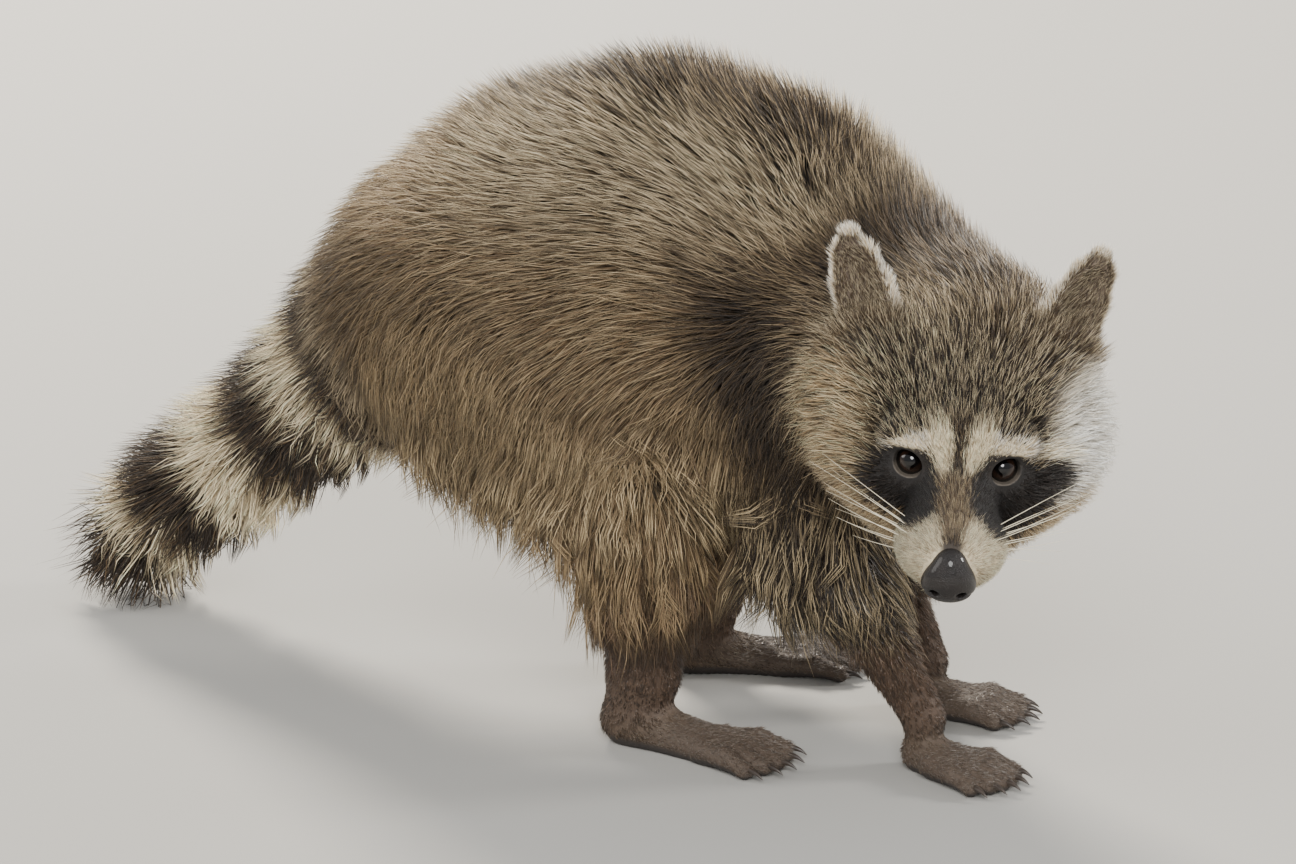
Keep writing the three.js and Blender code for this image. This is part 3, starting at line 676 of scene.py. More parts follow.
def markings(points, weights):
    """Colours of the hair at points: root, band, pale tip and dark tip, and the share of dark tips."""
    n = len(points)
    kind = {k: weights[:, i] for i, k in enumerate(KINDS)}
    colours = np.stack([np.tile(c, (n, 1)) for c in (UNDERFUR * 0.7, BROWN * 1.15, BUFF * 1.05, DARK)])
    dark_tips = np.full(n, 0.32)

    def lay(share, root, band, pale, dark, tips):
        """Lays a mark over the hair, by share."""
        nonlocal colours, dark_tips
        share = np.clip(share, 0, 1)
        marks = (root, band, pale, dark)
        colours = np.stack([mix(coat, mark, share) for coat, mark in zip(colours, marks)])
        dark_tips = dark_tips * (1 - share) + tips * share

    x, y, z = points.T
    # the back turns grey, then dark along its ridge; the belly is plain brown, and the lower trunk and the
    # rump are darkened as painted shade
    lay(smooth(z, 215, 285) * smooth(x, -150, -60) * 0.9, DARK, GREY_TAN * 0.9, GREY_CREAM * 1.5, BLACK, 0.30)
    ridge = smooth(z, 232, 300) * smooth(np.abs(y - MIDLINE), 50, 12) * smooth(x, -190, -40)
    lay(ridge * 0.9, BLACK, DARK * 1.2, TAN, BLACK, 0.7)
    # painted shade: the lower trunk and the rump are darker, as if in shadow
    lay(smooth(z, 182, 136) * kind["trunk"], DARK * 0.6, BROWN * 0.42, TAN * 0.64, DARK, 0.5)
    lay(smooth(x, -10, -90) * smooth(z, 245, 190) * 0.9, DARK * 0.6, BROWN * 0.45, TAN * 0.66, DARK, 0.5)
    lay(kind["neck"] * smooth(z, 245, 190) * 0.6, DARK * 0.7, BROWN * 0.7, TAN, DARK, 0.4)
    lay(kind["neck"] * smooth(z, 222, 250) * 0.95, BLACK, DARK, BROWN * 1.2, BLACK, 0.6)
    # limbs: long pale locks over wet brown legs
    lay(kind["thigh"] * 0.7, UNDERFUR * 0.7, TAN * 0.8, BUFF * 1.05, BROWN * 0.7, 0.22)
    low = smooth(z, 118, 92) * gather(kind["thigh"], kind["shank"])
    lay(low * 0.8, DARK, BROWN * 1.1, TAN, BROWN, 0.1)
    lay(smooth(z, 96, 74) * kind["shank"] * 1.5, WET * 0.8, WET * 1.25, WET * 2.4, DARK, 0.3)
    lay(kind["foot"], WET * 0.6, mix(WET, GREY, 0.3), GREY, WET * 0.6, 0.35)
    # a dark band runs down behind the cheek and over the shoulder: darker fur, deepened by painted shade
    # under the cheek's ruff
    across = x - 84 - (195 - z) * 0.36
    dark_fur_and_shade_behind_cheek = np.exp(-((across / 29) ** 2 + ((z - 182) / 62) ** 4)) * smooth(y, 20, -20)
    lay(dark_fur_and_shade_behind_cheek * 1.35, BLACK, DARK * 0.8, BROWN * 0.7, BLACK, 0.56)
    # wet locks hang pale over the dark elbows
    elbow = smooth(x, 45, 72) * smooth(z, 145, 112) * smooth(z, 52, 70) * (1 - kind["foot"])
    lay(elbow * 0.95, BLACK, DARK * 0.8, BUFF * 1.1, BLACK, 0.50)
    # tail
    s = along_tail(points) + 3.0 * np.sin(y * 0.30) + 2.0 * np.sin(z * 0.4 + 1)
    tail = kind["tail"] * 1.4 * smooth(s, 24, 46)
    rings = sum(smooth(s, a - 7, a + 5) * smooth(s, b + 7, b - 5) for a, b in DARK_RINGS)
    lay(tail, TAN, CREAM * 1.1, WARM_WHITE * 1.1, BROWN, 0.06)
    lay(tail * rings, BLACK, DARK, BROWN, BLACK, 0.68)
    # head
    h = to_head(points)
    f, u = h[:, 0], h[:, 2]
    side = np.abs(h[:, 1])
    rise = 0.862 * u - 0.5 * f + 2.1
    plane = np.stack([side, rise], 1)
    left = smooth(h[:, 1], -4, 4)
    head = gather(*(kind[k] for k in HEAD_KINDS))
    wobble = 0.9 * np.sin(h[:, 1] * 1.7 + u) + 0.7 * np.sin(u * 2.3 - f)
    lay(head, BLACK, DARK * 0.85, mix(GREY_CREAM, BUFF, 0.5) * 1.55, BLACK, 0.50)
    lay(head * smooth(f, -58, -80) * smooth(u, 10, 30), BLACK, DARK, TAN * 0.8, BLACK, 0.6)
    # the cheeks are buff and pale; the dark tips on the right cheek are painted shade, and the white hair
    # laid on the left cheek is painted light
    cheek = head * smooth(side, 36, 54) * smooth(u, 42, 26) * smooth(f, -78, -46)
    lay(cheek, BLACK, TAN * 1.15, mix(BUFF, CREAM, 0.6) * 1.45, BLACK, 0.40 * (1 - left))
    lay(cheek * left, GREY_TAN, WHITE, WHITE * 1.1, GREY_TAN, 0.16)
    below = head * smooth(u, -12, -24) * smooth(f, -40, -20)
    lay(below, BROWN, TAN, CREAM, BROWN, 0.15)
    throat = head * smooth(f, -14, -34) * smooth(u, -22, -36)
    lay(throat, DARK, BROWN, TAN, BROWN, 0.4)
    snout = head * smooth(f, 10, 18) * smooth(rise, -15, -23)
    lay(snout, BROWN, mix(CREAM, WARM_WHITE, 0.4), WARM_WHITE * 1.25, BROWN, 0.13)
    for s, mine in ((RIGHT, 1 - left), (LEFT, left)):
        mine = mine * head
        half = np.interp(side, *BROW_HALF[s]) + 0.4 * wobble
        brow = smooth(to_polyline(plane, BROWS[s]) - half, 1.3, -1.3) * smooth(f, -46, -30)
        lay(mine * brow * 0.95, TAN, WARM_WHITE * 1.1, WHITE * 1.15, BROWN, 0.12)
        half = np.interp(rise, (0, 7, 15, 24), (2.8, 4.6, 5.2, 4.6)) + 0.4 * wobble
        stripe = smooth(to_polyline(plane, STRIPES[s]) - half, 1.3, -1.3) * smooth(rise, 29, 17)
        lay(mine * stripe * smooth(f, -34, -16) * 0.95, TAN, WARM_WHITE * 1.15, WARM_WHITE * 1.3, BROWN, 0.13)
    half = np.interp(rise, (-36, -28, -22, -17), (3.6, 4.6, 6.6, 9.5))
    bridge = head * smooth(side, half + 1.8, half - 1.4) * smooth(rise, 1.5, -4) * smooth(f, -2, 6)
    lay(bridge * 0.93, DARK * 0.8, BROWN, BUFF, DARK, 0.45)
    half = 2.5 + 0.35 * np.clip(rise - 15, 0, 12) + 0.3 * wobble
    middle = head * smooth(side, half + 0.9, half - 0.9) * smooth(f, -40, -20) * smooth(rise, -2, 3)
    lay(middle * smooth(rise, 30, 20) * 0.9, BLACK, DARK, BROWN, BLACK, 0.6)
    for s, mine in ((RIGHT, 1 - left), (LEFT, left)):
        mask = inside_outline(plane, MASKS[s]) + 0.5 * wobble
        mask = mine * head * smooth(f, -50, -38) * smooth(mask, 1.2, -1.2)
        lay(mask, BLACK, MASK, MASK * 1.6, BLACK, 0.8)
    by_nose = head * smooth(np.linalg.norm(points - NOSE_TOP, axis=1), 10, 4) * smooth(side, 6.5, 3)
    lay(by_nose * 0.9, BLACK, DARK * 0.8, BROWN, BLACK, 0.5)
    for at in EYE_AT.values():
        lay(smooth(np.linalg.norm(points - at, axis=1), 13.5, 11.5), BLACK, BLACK, BLACK, BLACK, 1.0)
    # ears
    lay(kind["ear"], DARK * 0.6, BROWN * 0.65, GREY_CREAM * 0.9, DARK, 0.52)
    return *colours, dark_tips


# ---------------------------------------------------------------- hair on the skin
# Every kind of coat is laid in three layers: share of the tufts, how much of the full height they
# reach (from, to), width against a guard hair's, and how far they draw together into locks.
LAYERS = {
    "under": (0.20, 0.38, 0.66, 2.50, 0.4),
    "guard": (0.44, 0.68, 1.00, 1.00, 1.0),
    "fine": (0.36, 0.72, 1.10, 0.70, 0.7),
}
UNDER, GUARD, FINE = range(3)
CLUMP_OF, LOCK_OF = 10, 30  # tufts in a clump of dry hair, and in a wet lock
SHORT = 9.5  # hair up to this long is one straight tuft
KIND_BLEND = 5.0  # how softly one kind of coat turns into the next
ROOTED = 0.6  # how deep a tuft is rooted in the skin
PULL_REACH = 16  # a tuft further than this from its clump's leader isn't drawn to it
DROOP = 0.35  # how far the tip of freely hanging hair drops, as a share of its length
WAVES = 7.5  # radians of a lock's wave from its root to its tip
MOST_MOVE = 25  # the furthest that a tuft's middle is moved at once onto its height in the coat


def ear_places(points, normals):
    """For each ear: places in its frame, how far up and how near its edge, and which way they face."""
    result = []
    for s in BOTH:
        root, tip, up, facing, wide = ear_frame(s)
        q = (points - root) @ np.stack([wide, up, facing]).T
        length = np.linalg.norm(tip - root)
        high = q[:, 1] / length
        shares, halves, _ = np.array(EAR_STATIONS).T
        half = np.interp(high, shares, halves)
        past = np.maximum(high - shares[-1], 0) * length / halves[-1]
        edge = np.sqrt((q[:, 0] / half) ** 2 + past ** 2)
        result.append((q, high, edge, normals @ facing))
    return result


def lie(points, each):
    """Weights of the kinds of coat at points, and the way that the hair runs."""
    low = each.min(0)
    w = np.exp(-(each - low) / KIND_BLEND)
    w /= w.sum(0)
    weights = np.zeros((len(points), len(KINDS)))
    flow = np.zeros((len(points), 3))
    for part, share in zip(PARTS, w):
        weights[:, part.kind] += share
        way = part.flow if part.source is None else unit(points - part.source)
        flow += share[:, None] * way
    return weights, unit(flow)


def bare_places(points, normals):
    """Where no hair grows: in and round the eyes, on the nose, the lips and the soles."""
    head = to_head(points)
    bare = (points[:, 2] < 7) & (normals[:, 2] < -0.3)
    for s in BOTH:
        bare |= EYE_FORMS[s][1](points) < 1.3
        bare |= np.linalg.norm(points - EYE_AT[s], axis=1) < EYEBALL + 0.3
    bare |= nose_form(points) < 0.2
    return bare | (head[:, 0] > 4) & (np.abs(head[:, 2] - LIPS) < 1.3) & (np.abs(head[:, 1]) < 26)


NOSE_FORMS = [((49, 0, -31.2), (9.0, 11.8, 7.6)), ((49.5, 0, -26), (8.4, 9.6, 7.0)),
              ((48.5, 0, -20), (7.0, 6.4, 6.2))]
NOSE_BLEND = 2.2


def nose_form(points):
    """The bare pad, with a nostril and its slit on each side and the groove below."""
    pad = blended(np.stack([
        ovoid(in_head(place), radii, HEAD)(points) for place, radii in NOSE_FORMS]), NOSE_BLEND)
    for s in BOTH:
        nostril = limb_in_head((60, s * 5.2, -33), (50, s * 7.0, -31), (2.3, 1.8), (1.4, 1.6), HEAD[1])
        slit = limb_in_head((58, s * 7.0, -33.4), (49, s * 13.0, -34), (1.5, 0.8), (1.3, 0.8), HEAD[0])
        pad = carved(pad, nostril(points), 0.5)
        pad = carved(pad, slit(points), 0.4)
    groove = limb_in_head((60.2, 0, -32), (56, 0, -41), (0.5, 0.9), (0.5, 0.9), HEAD[1])
    return carved(pad, groove(points), 0.4)


# Roots are strewn over the skin by the density of each kind of coat.
corners_of = skin_points[skin_faces]
face_across = np.cross(corners_of[:, 1] - corners_of[:, 0], corners_of[:, 2] - corners_of[:, 0])
face_middle = corners_of.mean(1)
face_weights, _ = lie(face_middle, flesh(face_middle)[1])
density = (face_weights @ TABLE)[:, COLUMNS.index("density")] / 100
density[bare_places(face_middle, unit(face_across))] = 0
owner = np.repeat(np.arange(len(skin_faces)), rng.poisson(np.linalg.norm(face_across, axis=1) / 2 * density))
a, b = rng.random(len(owner)), rng.random(len(owner))
a, b = np.where(a + b > 1, (1 - a, 1 - b), (a, b))
first, second, third = corners_of[owner].swapaxes(0, 1)
roots = first + a[:, None] * (second - first) + b[:, None] * (third - first)
total = len(roots)

weights, flow = lie(roots, flesh(roots)[1])
normals, _ = slope_of(roots)
values = weights @ TABLE
height, length, width, clump, gravity, _, hang = values.T
of_head = weights[:, [KINDS.index(k) for k in HEAD_KINDS]].sum(1)
of_trunk, of_tail, of_thigh, of_shank, of_crown, of_ear = [
    weights[:, KINDS.index(k)] for k in ("trunk", "tail", "thigh", "shank", "crown", "ear")]

# Layers, and the wet locks of the belly, the thighs and the elbows.
shares = np.array([LAYERS[k][0] for k in LAYERS])
layer = rng.choice(3, total, p=shares)
low_reach, high_reach, wider, draws = np.array([LAYERS[k][1:] for k in LAYERS])[layer].T
reach = rng.uniform(low_reach, high_reach)
# Long hair fills the room between the skin and the outside of the coat.
room = np.clip(-coarse.sample(coat_value, roots), 0.6 * height, 1.6 * height)
height = mix(height[:, None], room[:, None], smooth(length, 9, 14) * (of_ear < 0.3))[:, 0]
under = smooth(normals[:, 2], 0.1, -0.6) * (of_trunk + of_thigh)
low_body = smooth(roots[:, 2], 165, 125) * (1 - of_head) * (1 - of_tail) * smooth(height, 7, 12)
low_tail = 0.8 * of_tail * smooth(normals[:, 2], 0.3, -0.4)
lock = np.clip(under + low_body + low_tail + 0.6 * of_shank * smooth(roots[:, 2], 58, 90), 0, 1)
hang = np.clip(hang + 0.5 * under + 0.35 * low_body + 0.4 * low_tail, 0, 1)
loose = (rng.random(total) < 0.10 * low_body) & (layer == GUARD)
wider = wider * np.where(layer == GUARD, 1 + 0.35 * smooth(lock, 0.5, 0.9), 1.0)
clump = np.clip(clump + 0.4 * lock, 0, 0.9) * draws * np.where(loose, 0.3, 1.0)

# Hair runs back over the body and turns down on its sides; round the eyes it runs away from them.
fall = np.where(of_head + of_tail > 0.5, 1.0, 1.8 * smooth(roots[:, 2], 250, 120))
flow = flow + np.array((0, 0, -1.0)) * (gravity * fall)[:, None]
near_eye = np.zeros(total)
for s in BOTH:
    close = smooth(EYE_FORMS[s][1](roots), 9, 2) * (to_head(roots)[:, 0] > -12)
    flow = flow + unit(roots - EYE_AT[s]) * (1.6 * close)[:, None]
    near_eye = np.maximum(near_eye, close)
swirl = np.stack([np.sin(roots @ k + p) for k, p in (
    ((0.031, 0.043, -0.027), 0.3), ((-0.037, 0.029, 0.041), 1.9), ((0.045, -0.033, 0.023), 4.1))], 1)
stray = np.where(layer == FINE, 0.36, 0.22) * (1 + 0.4 * of_crown)
stray = stray[:, None] * rng.normal(size=(total, 3))
flow = unit(flow) + 0.14 * swirl + stray
flow = unit(flow - normals * (flow * normals).sum(1)[:, None])

ankle = 1 + of_shank * (1.5 * smooth(roots[:, 2], 58, 100) - 0.7 * smooth(roots[:, 2], 64, 22))
tall = height * reach * (1 - 0.65 * near_eye) * ankle
long = ankle * length * (0.55 + 0.45 * reach) * rng.uniform(0.85, 1.12, total) * (1 - 0.6 * near_eye)
tall = np.where(loose, 1.1 * height, tall)
long = np.where(loose, 1.28, 1.0) * long
upright = smooth(roots[:, 2], 225, 275) * (1 - of_head)  # hair stands higher along the back
upright = np.maximum(upright, 0.6 * of_tail)

# The rims of the ears carry long pale hair, and their hollows longer hair than their backs.
is_ear = of_ear > 0.5
ear_rim, ear_front = np.zeros(total), np.zeros(total)
for q, high, edge, front in ear_places(roots, normals):
    mine = is_ear & (np.abs(q[:, 0]) < 22) & (high > -0.3)
    rim = mine * np.maximum(smooth(edge, 0.84, 0.96) * smooth(high, 0.05, 0.4), smooth(high, 0.93, 0.98))
    ear_rim = np.maximum(ear_rim, rim)
    ear_front = np.maximum(ear_front, mine * smooth(front, 0.0, 0.5) * (1 - rim))
tall *= 1 + 1.0 * ear_rim + 0.3 * ear_front
long *= 1 + 0.6 * ear_rim + 0.6 * ear_front
along = np.sqrt(np.maximum(long ** 2 - tall ** 2, (0.5 * long) ** 2)) * (1 - 0.45 * upright)


def leaders():
    """The tuft in the middle of each tuft's clump."""
    seeds = np.flatnonzero(rng.random(total) < 1 / (CLUMP_OF + (LOCK_OF - CLUMP_OF) * lock))
    tree = kdtree.KDTree(len(seeds))
    for k, i in enumerate(seeds):
        tree.insert(roots[i], k)
    tree.balance()
    return seeds[[tree.find(r)[1] for r in roots]]


leader = leaders()
in_lock = (lock > 0.55) & (layer == GUARD) | loose
segments = np.where((layer == FINE) | (long < SHORT), 1, np.where(in_lock, 3, 2))
wave_turn = rng.uniform(0, 2 * math.pi, total)[leader]
wave_way = np.cross(normals, flow)
wave_turn = np.where(loose, rng.uniform(0, 2 * math.pi, total), wave_turn)
sway = np.where(loose, 3.4, 2.6 * lock)

# A tuft's rings: their places along it and their widths, by the number of its lengths.
RINGS = {3: (0.0, 0.4, 0.76, 1.0), 2: (0.0, 0.55, 1.0), 1: (0.0, 1.0)}
WIDTHS = {3: (1.0, 0.85, 0.55), 2: (1.0, 0.75), 1: (1.0,)}


def path(t):
    """Places of all the tufts' middles at t along them, laid along the body."""
    rise = 1 - (1 - t) ** (1.8 - 0.6 * upright)
    p = roots + normals * (tall * rise - ROOTED * (1 - t))[:, None] + flow * (along * t ** 1.15)[:, None]
    p[:, 2] -= hang * long * DROOP * t * t
    if t > 0.2:
        for _ in range(2):
            value = coarse.sample(coat_value, p)
            normal = coarse.sample(coat_slope, p)
            off = value + height - tall * rise
            keep = np.where(off > 0, 1 - hang, 1.0)
            keep = np.where(is_ear | (long < SHORT), 0.0, keep)
            p = p - normal * np.clip(off * keep, -MOST_MOVE, MOST_MOVE)[:, None]
    pull = clump * t ** 1.6 * (np.linalg.norm(roots - roots[leader], axis=1) < PULL_REACH)
    p = p + (p[leader] - p) * pull[:, None]
    p = p + wave_way * (sway * t * np.sin(WAVES * t + wave_turn))[:, None]
    p[:, 2] = np.maximum(p[:, 2], FLOOR_CLEAR + 0.4 * t)
    return p


# A tuft takes its colours from the marks at about where it is seen, a little astray, so that the
# edges of the marks are ragged.
PLACES = {t: path(t) for t in sorted({t for ts in RINGS.values() for t in ts})}
seen = PLACES[0.76]
mark_at = np.where((of_tail > 0.5)[:, None], 0.7 * seen + 0.3 * PLACES[1.0], 0.85 * seen + 0.15 * roots)
strays = (5.0 - 3.6 * of_head - 1.0 * of_tail)[:, None] * rng.normal(size=(total, 3))
root_colour, band_colour, pale_tip, dark_tip, dark_tips = markings(mark_at + strays, weights)
root_colour = mix(root_colour, TAN, ear_rim)
band_colour = mix(band_colour, CREAM, ear_rim)
pale_tip = mix(pale_tip, WHITE, ear_rim)
is_dark = rng.random(total) < mix(dark_tips[:, None], np.full((total, 1), 0.10), ear_rim)[:, 0]
tips = np.where(is_dark[:, None], dark_tip, pale_tip)
shade = np.where(layer == UNDER, rng.uniform(0.8, 1.12, total), rng.uniform(0.66, 1.26, total))
shade = shade * (1 + 0.08 * swirl[:, 0])


def hair_colour(t):
    """Colours of all the tufts at t along them: dark at the root, then the band, then the tip."""
    soft = mix(root_colour, band_colour, 0.15 + 0.6 * t)
    crisp = mix(root_colour * 0.8, band_colour, smooth(t, 0.05, 0.6))
    crisp = mix(crisp, tips, smooth(t, 0.42, 1.0))
    straight = mix(root_colour, band_colour, 0.3) if t < 0.5 else tips
    crisp = np.where((segments == 1)[:, None], straight, crisp)
    return np.clip(np.where((layer == UNDER)[:, None], soft, crisp) * shade[:, None], 0, 1)


COLOURS = {t: hair_colour(t) for t in PLACES}


# ---------------------------------------------------------------- meshes
def mesh_object(name, points, faces, smooth_faces=True):
    mesh = bpy.data.meshes.new(name)
    mesh.vertices.add(len(points))
    mesh.vertices.foreach_set("co", metres(points).astype(np.float32).ravel())
    mesh.loops.add(len(faces) * 3)
    mesh.loops.foreach_set("vertex_index", np.asarray(faces, np.int32).ravel())
    mesh.polygons.add(len(faces))
    mesh.polygons.foreach_set("loop_start", np.arange(0, len(faces) * 3, 3, dtype=np.int32))
    mesh.polygons.foreach_set("use_smooth", np.full(len(faces), smooth_faces))
    mesh.update(calc_edges=True)
    mesh.validate()
    made = bpy.data.objects.new(name, mesh)
    bpy.context.scene.collection.objects.link(made)
    return made


def give_colours(made, colours, name="Coat"):
    attribute = made.data.attributes.new(name, "FLOAT_COLOR", "POINT")
    rgba = np.concatenate([colours, np.ones((len(colours), 1))], 1).astype(np.float32)
    attribute.data.foreach_set("color", rgba.ravel())


PATCH = 0.003  # side of a tuft's patch on the unwrap
TUFT_ROUND = 0.58  # radius of a tuft's three corners, as a share of its width


def unwrap(points, centre, axis):
    """Places round and along an axis, which is how the skin of that part is unwrapped."""
    axis = unit(axis)
    side = unit(np.cross(axis, (0.0, 0.0, 1.0) if abs(axis[2]) < 0.9 else (1.0, 0.0, 0.0)))
    q = (points - centre) @ np.stack([side, np.cross(axis, side), axis]).T
    return np.stack([np.arctan2(q[:, 0], q[:, 1]) / math.pi, q[:, 2] / 100], 1)


def tuft_piece(name, chosen, segments, centre, axis):
    """One joined mesh of the chosen tufts, each a three-sided tapering lock with closed ends."""
    ts, widths = RINGS[segments], WIDTHS[segments]
    n = len(chosen)
    centres = np.stack([PLACES[t][chosen] for t in ts], 1)
    course = unit(np.gradient(centres, axis=1))
    spin = rng.uniform(0, 2 * math.pi, n)
    side = unit(np.cross(course, normals[chosen][:, None, :]) + 1e-6)
    up = np.cross(side, course)
    rings = []
    for k, w in enumerate(widths):
        r = (width * wider)[chosen] * w * TUFT_ROUND
        for c in range(3):
            angle = spin + c * 2 * math.pi / 3
            offset = side[:, k] * (np.cos(angle) * r)[:, None] + up[:, k] * (np.sin(angle) * r)[:, None]
            rings.append(centres[:, k] + offset)
    rings.append(centres[:, -1])
    points = np.stack(rings, 1)
    per = points.shape[1]
    faces = [(0, 2, 1)]
    for k in range(segments - 1):
        for c in range(3):
            a0, a1 = 3 * k + c, 3 * k + (c + 1) % 3
            faces += [(a0, a1, a1 + 3), (a0, a1 + 3, a0 + 3)]
    last = 3 * (segments - 1)
    faces += [(last + c, last + (c + 1) % 3, per - 1) for c in range(3)]
    faces = (np.arange(n)[:, None, None] * per + np.array(faces)[None]).reshape(-1, 3)
    made = mesh_object(name, points.reshape(-1, 3), faces)
    colours = np.stack([COLOURS[t][chosen] for t in ts for _ in range(3 if t < 1 else 1)], 1)
    give_colours(made, colours.reshape(-1, 3))
    place = unwrap(roots[chosen], centre, axis)
    low, high = place.min(0), place.max(0)
    place = (place - low) / (high - low) * (1 - 2 * PATCH) + PATCH / 2
    across = np.array([c / 2 for k in range(segments) for c in range(3)] + [0.5])
    down = np.array([ts[k] for k in range(segments) for c in range(3)] + [1.0])
    uv = place[:, None, :] + np.stack([across, down], 1)[None] * PATCH
    unwrapped = made.data.uv_layers.new(name="OFBake")
    unwrapped.data.foreach_set("uv", uv.reshape(-1, 2)[faces.ravel()].astype(np.float32).ravel())
    return made


# ---------------------------------------------------------------- materials
def material(name, colour, grain, spread, settings, bump=None, pebbles=None):
    """The colour is a colour, or the name of the attribute that holds it. Noise of the grain's scale
    and detail mottles it, over a spread of factors. The settings go on the shader's sockets. The bump
    is (strength, metres), of the same noise or of pebbles at a scale of their own."""
    made = bpy.data.materials.new(name)
    made.use_nodes = True
    nodes, links = made.node_tree.nodes, made.node_tree.links
    shader, where = nodes["Principled BSDF"], nodes.new("ShaderNodeTexCoord")
    if isinstance(colour, str):
        base = nodes.new("ShaderNodeAttribute")
        base.attribute_name = colour
    else:
        base = nodes.new("ShaderNodeRGB")
        base.outputs["Color"].default_value = (*colour, 1)
    noise = nodes.new("ShaderNodeTexNoise")
    noise.inputs["Scale"].default_value, noise.inputs["Detail"].default_value = grain
    noise.inputs["Roughness"].default_value = 0.6
    links.new(where.outputs["Object"], noise.inputs["Vector"])
    span = nodes.new("ShaderNodeMapRange")
    for socket, value in zip(("From Min", "From Max", "To Min", "To Max"), (0.3, 0.7, *spread)):
        span.inputs[socket].default_value = value
    links.new(noise.outputs["Fac"], span.inputs["Value"])
    mottled = nodes.new("ShaderNodeVectorMath")
    mottled.operation = "SCALE"
    links.new(base.outputs["Color"], mottled.inputs[0])
    links.new(span.outputs["Result"], mottled.inputs["Scale"])
    links.new(mottled.outputs["Vector"], shader.inputs["Base Color"])
    for socket, value in settings.items():
        shader.inputs[socket].default_value = value
    if bump:
        height = noise.outputs["Fac"]
        if pebbles:
            cells = nodes.new("ShaderNodeTexVoronoi")
            cells.inputs["Scale"].default_value = pebbles
            links.new(where.outputs["Object"], cells.inputs["Vector"])
            height = cells.outputs["Distance"]
        raised = nodes.new("ShaderNodeBump")
        raised.inputs["Strength"].default_value, raised.inputs["Distance"].default_value = bump
        links.new(height, raised.inputs["Height"])
        links.new(raised.outputs["Normal"], shader.inputs["Normal"])
    return made


def hair_material(name, rough, shine):
    settings = {"Roughness": rough, "Specular IOR Level": shine, "Sheen Weight": 0.05, "Sheen Roughness": 0.4}
    return material(name, "Coat", (380, 3), (0.82, 1.18), settings)


coat_look = hair_material("hair_coat", 0.55, 0.28)
wet_look = hair_material("hair_wet", 0.36, 0.55)
skin_look = material("skin", "Coat", (900, 5), (0.7, 1.2), {"Roughness": 0.7}, bump=(0.5, 0.0006))
nose_look = material(
    "nose_leather", linear(23, 18, 16), (160, 3), (0.6, 1.5),
    {"Roughness": 0.5, "Specular IOR Level": 0.3, "Coat Weight": 0.4, "Coat Roughness": 0.10},
    bump=(0.8, 0.00045), pebbles=1400.0)
eye_look = material(
    "eye_gloss", "Eye", (700, 4), (0.7, 1.3),
    {"Roughness": 0.08, "Specular IOR Level": 0.3, "Coat Weight": 0.5, "Coat Roughness": 0.02})
horn_look = material("claw_horn", linear(58, 50, 44), (300, 3), (0.6, 1.5), {"Roughness": 0.32})
whisker_look = material("whisker_hair", linear(232, 222, 196), (60, 2), (0.85, 1.1), {"Roughness": 0.35})


def finish_piece(made, look, slot, *nodes):
    if look is not None:
        made.data.materials.clear()
        made.data.materials.append(look)
    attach(made, "root")
    if nodes:
        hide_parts(*nodes)
    return made


# ---------------------------------------------------------------- the skin
def skin_colours(points):
    """The coat's marks on the skin, with bare lids, lips, soles and ears."""
    of_kind, _ = lie(points, flesh(points)[1])
    facing, _ = slope_of(points)
    root, band, *_ = markings(points, of_kind)
    short = smooth((of_kind @ TABLE)[:, 0], 12, 3)
    colour = mix(root * 0.7, band * 0.8, 0.7 * short)
    for s in BOTH:
        opening = EYE_FORMS[s][1](points)
        from_eye = np.linalg.norm(points - EYE_AT[s], axis=1)
        colour = mix(colour, BLACK * 0.6, smooth(opening, 3.0, 1.6) * smooth(from_eye, 14, 12))
        rim = smooth(np.abs(opening - 0.2), 0.42, 0.12) * smooth(from_eye, 12, 10)
        lower = smooth((points - EYE_AT[s]) @ HEAD[2], 1.5, -2.5)
        colour = mix(colour, mix(BLACK * 0.6, GREY, 0.10 + lower * 0.45), rim)
    colour = mix(colour, linear(52, 46, 43), smooth(points[:, 2], 7, 4) * smooth(facing[:, 2], 0.0, -0.5))
    h = to_head(points)
    lips = smooth(np.abs(h[:, 2] - LIPS), 2.2, 1.0) * smooth(h[:, 0], 4, 10) * (np.abs(h[:, 1]) < 27)
    colour = mix(colour, BLACK, lips)
    for _, _, edge, front in ear_places(points, facing):
        inner = (of_kind[:, KINDS.index("ear")] > 0.5) * smooth(front, 0.2, 0.7) * smooth(edge, 0.9, 0.6)
        colour = mix(colour, linear(112, 98, 86), inner * 0.8)
    return np.clip(colour, 0, 1)


FLESH_NODES = [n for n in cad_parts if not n.startswith(("eye_", "nose"))]
skin = mesh_object("skin", skin_points, skin_faces)
give_colours(skin, skin_colours(skin_points))
finish_piece(skin, skin_look, "coat", *FLESH_NODES)

# ---------------------------------------------------------------- the coat, in pieces
SIDES = {"right": RIGHT, "left": LEFT}
main_kind = weights.argmax(1)
kind_is = {k: main_kind == KINDS.index(k) for k in KINDS}
of_face = np.isin(main_kind, [KINDS.index(k) for k in HEAD_KINDS]) & ~kind_is["ear"]
of_body = kind_is["trunk"] | kind_is["neck"] | kind_is["thigh"]


def nearest_legs():
    """Name and measures of each leg, and which tufts are nearest to it."""
    legs = []
    for which, pair in (("hind", HIND), ("fore", FORE)):
        for side, s in SIDES.items():
            *_, upper, ankle = pair[s]["joints"]
            _, _, spot = paw_frame(ankle, pair[s]["toes"])
            toes = spot(PAWS[which]["palm"] + PAWS[which]["toe"], 0, 5)
            legs.append((f"{which}_{side}", pair[s], to_polyline(roots, [upper, ankle, toes])))
    first = np.argmin([far for _, _, far in legs], 0)
    return [(name, leg, first == i) for i, (name, leg, _) in enumerate(legs)]


FACE_BACK = -30  # the face's pieces end and the crown's begin here, along the head
TAIL_WAY = (-0.72, 0, -0.69)
